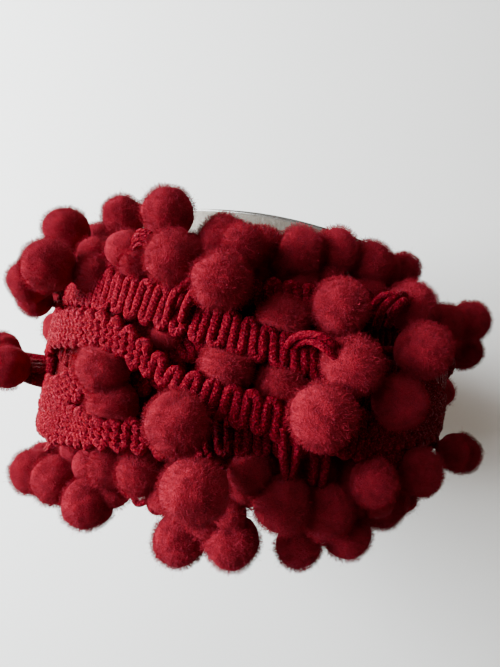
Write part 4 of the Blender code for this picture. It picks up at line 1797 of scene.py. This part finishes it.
# a darker copy of the cord, painted shade for the inner layers under the outer turns
SHADED_INNER_CORD = CordFinish(
    "shaded_inner_braid",
    deep=(0.055, 0.0018, 0.0040),
    lit=(0.082, 0.0027, 0.0060),
    painted_glint=(0.15, 0.0070, 0.0135),
)


@dataclass(frozen=True)
class CardFinish:
    """The core's card: greyish beige with faint fibres, browner in patches, and dark at the rim."""

    pale: Colour = (0.17, 0.145, 0.115)
    brown: Colour = (0.10, 0.07, 0.045)
    edge: Colour = (0.035, 0.029, 0.023)
    edge_start: float = 31.3 * MM  # along Y
    edge_end: float = 31.7 * MM
    fine: float = 0.5 * MM
    broad: float = 5.0 * MM
    fine_part: float = 0.25
    broad_part: float = 0.6
    relief: float = 0.05 * MM

    def make(self) -> bpy.types.Material:
        """Build the finish.

        Returns:
            The material.
        """
        material, graph, shader = new_material("core_card", 0.8)
        grain = FibreGrain().use(graph, self.fine, self.broad)
        share = graph.weigh((grain["Fine"], self.fine_part), (grain["Broad"], self.broad_part))
        # darker in a band at the rim's edge
        darker_near_rim = graph.ramp(graph.along_axis(), self.edge_start, self.edge_end)
        colour = graph.mix(darker_near_rim, graph.mix(share, self.pale, self.brown), self.edge)
        graph.link(shader, Base_Color=colour, Normal=graph.bump(grain["Height"], self.relief))
        return material


@dataclass(frozen=True)
class FilmFinish:
    """The clear film on the core, slightly frosted and wrinkled, with painted shade at its refracting
    lip.
    """

    tint: Colour = (0.62, 0.60, 0.55)
    # painted shade: the dark that the film's lip shows as it refracts
    lip: Colour = (0.05, 0.043, 0.036)
    lip_start: float = 31.5 * MM  # along Y
    lip_end: float = 31.8 * MM
    lip_cover: float = 0.8
    least_cover: float = 0.03
    most_cover: float = 0.14
    fine: float = 0.6 * MM
    broad: float = 6.0 * MM
    relief: float = 0.06 * MM

    def make(self) -> bpy.types.Material:
        """Build the finish.

        Returns:
            The material, most of it clear.
        """
        material, graph, shader = new_material("core_film", 0.22, Specular_IOR_Level=0.3)
        grain = FibreGrain().use(graph, self.fine, self.broad)
        # painted shade at the lip: darker and nearly opaque
        past = graph.ramp(graph.along_axis(), self.lip_start, self.lip_end)
        frost = graph.span(grain["Fine"], self.least_cover, self.most_cover)
        cover = graph.math("MAXIMUM", frost, graph.math("MULTIPLY", past, self.lip_cover))
        graph.link(
            shader,
            Base_Color=graph.mix(past, self.tint, self.lip),
            Alpha=cover,
            Normal=graph.bump(grain["Height"], self.relief),
        )
        return material


@dataclass(frozen=True)
class SurfaceFinish:
    """The pale surface that the roll lies on, a little darker in broad patches."""

    colour: Colour = (0.89, 0.885, 0.87)
    darkened: float = 0.97
    patch: float = 60.0 * MM
    patch_roughness: float = 0.55

    def make(self) -> bpy.types.Material:
        """Build the finish.

        Returns:
            The material.
        """
        material, graph, shader = new_material("pale_surface", 0.7, Specular_IOR_Level=0.2)
        place = graph.coordinates()
        broad = graph.noise(place, 1.0 / self.patch, roughness=self.patch_roughness)
        darker = tuple(self.darkened * part for part in self.colour)
        graph.link(shader, Base_Color=graph.mix(broad, self.colour, darker))
        return material


@dataclass(frozen=True)
class SoftLight:
    """A soft area light."""

    name: str
    place: Point
    size: tuple[float, float]
    watts: float
    colour: Colour
    aim: Point = (0.0, 0.0, 0.06)

    def build(self) -> None:
        """Put the light into the scene."""
        data = bpy.data.lights.new(self.name, "AREA")
        data.shape = "RECTANGLE"
        data.size, data.size_y = self.size
        data.energy = self.watts
        data.color = self.colour
        light = bpy.data.objects.new(self.name, data)
        light.location = self.place
        toward = Vector(self.aim) - Vector(self.place)
        light.rotation_euler = toward.to_track_quat("-Z", "Y").to_euler()
        bpy.context.scene.collection.objects.link(light)


@dataclass
class Studio:
    """The pale surface, the soft lights and the camera above the roll."""

    surface_size: float = 1.6
    low_sky: Colour = (0.40, 0.325, 0.24)
    high_sky: Colour = (0.15, 0.126, 0.10)
    low_end: float = 0.05  # how far up the sky's colours start and end, from 0 to 1
    high_end: float = 0.6
    camera_place: Point = (-1.8 * MM, -3.7 * MM, 212.2 * MM)
    camera_tilt: float = 5.47  # degrees from straight down
    camera_roll: float = 11.61
    lens: float = 27.53  # millimetres for the 36 mm long side of the frame
    nearest: float = 10.0 * MM
    window: SoftLight = SoftLight(
        "window", place=(-0.50, 0.03, 0.27), size=(0.36, 0.30), watts=17.0, colour=(0.93, 0.98, 1.0)
    )
    ceiling: SoftLight = SoftLight(
        "ceiling", place=(-0.34, 0.05, 0.50), size=(0.40, 0.30), watts=1.8, colour=(0.97, 0.98, 1.0)
    )
    lamp: SoftLight = SoftLight(
        "lamp", place=(-0.45, 0.80, 0.28), size=(0.40, 0.25), watts=3.5, colour=(1.0, 0.93, 0.86)
    )

    def build(self) -> None:
        """Build the surface, the lights, the sky and the camera."""
        shape = bmesh.new()
        bmesh.ops.create_grid(shape, x_segments=1, y_segments=1, size=self.surface_size / 2)
        floor = finish_bmesh("surface", shape, SurfaceFinish().make())
        floor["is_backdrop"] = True
        for light in (self.window, self.ceiling, self.lamp):
            light.build()
        self.build_sky()
        self.build_camera()

    def build_sky(self) -> None:
        """Fade the sky from its low colour to its high one."""
        world = bpy.data.worlds.new("soft_sky")
        world.use_nodes = True
        graph = NodeGraph(world.node_tree)
        spot = graph.add("SeparateXYZ", {0: graph.add("TexCoord").outputs["Generated"]}).outputs
        height = graph.ramp(spot["Z"], self.low_end, self.high_end)
        colour = graph.mix(height, self.low_sky, self.high_sky)
        graph.link(world.node_tree.nodes["Background"], Color=colour)
        bpy.context.scene.world = world

    def build_camera(self) -> None:
        """Hang the camera above the roll, nearly straight down."""
        data = bpy.data.cameras.new("camera")
        data.lens = self.lens
        data.clip_start = self.nearest
        camera = bpy.data.objects.new("camera", data)
        camera.matrix_world = (
            Matrix.Translation(self.camera_place)
            @ Matrix.Rotation(math.radians(self.camera_tilt), 4, "X")
            @ Matrix.Rotation(math.radians(self.camera_roll), 4, "Z")
        )
        bpy.context.scene.collection.objects.link(camera)
        bpy.context.scene.camera = camera


def keep(piece: bpy.types.Object, slot: str, *nodes: str) -> None:
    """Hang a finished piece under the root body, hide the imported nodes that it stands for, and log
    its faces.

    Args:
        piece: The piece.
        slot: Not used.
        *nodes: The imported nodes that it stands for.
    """
    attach(piece, "root")
    if nodes:
        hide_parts(*nodes)
    LOG.info("%s: %d faces", piece.name, len(piece.data.polygons))


def corners() -> list[list[float]]:
    """The lowest and highest corners of all that shows, as plain lists."""
    return [[float(value) for value in corner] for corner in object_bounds()]


def main() -> None:
    """Build the roll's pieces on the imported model, then the studio."""
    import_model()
    core = CoreSize.read()
    pompoms = PompomLayout(core).settle()
    clearance = Clearance(core, pompoms)
    form = WoundForm(core)
    cord, inner = OUTER_CORD.make(), SHADED_INNER_CORD.make()
    pile = PileFinish().make()
    tube, film = CoreTube(core).build(CardFinish().make(), FilmFinish().make())
    keep(tube, "core", "core")
    keep(film, "core")
    winding = Winding(form, clearance)
    layers = winding.build(cord, inner)
    keep(layers[0], "braid", "winding")
    for piece in layers[1:]:
        keep(piece, "braid")
    keep(CordLoops(form, clearance).build(cord), "braid")
    balls = PompomPile(clearance, winding.routes)
    for clump in dict.fromkeys(pompom.clump for pompom in pompoms):
        nodes = () if clump == BETWEEN_CLUMP else (f"pompoms_{clump}",)
        keep(balls.build(clump, pile), "pompoms", *nodes)
    Studio().build()


if __name__ == "__main__":
    main()
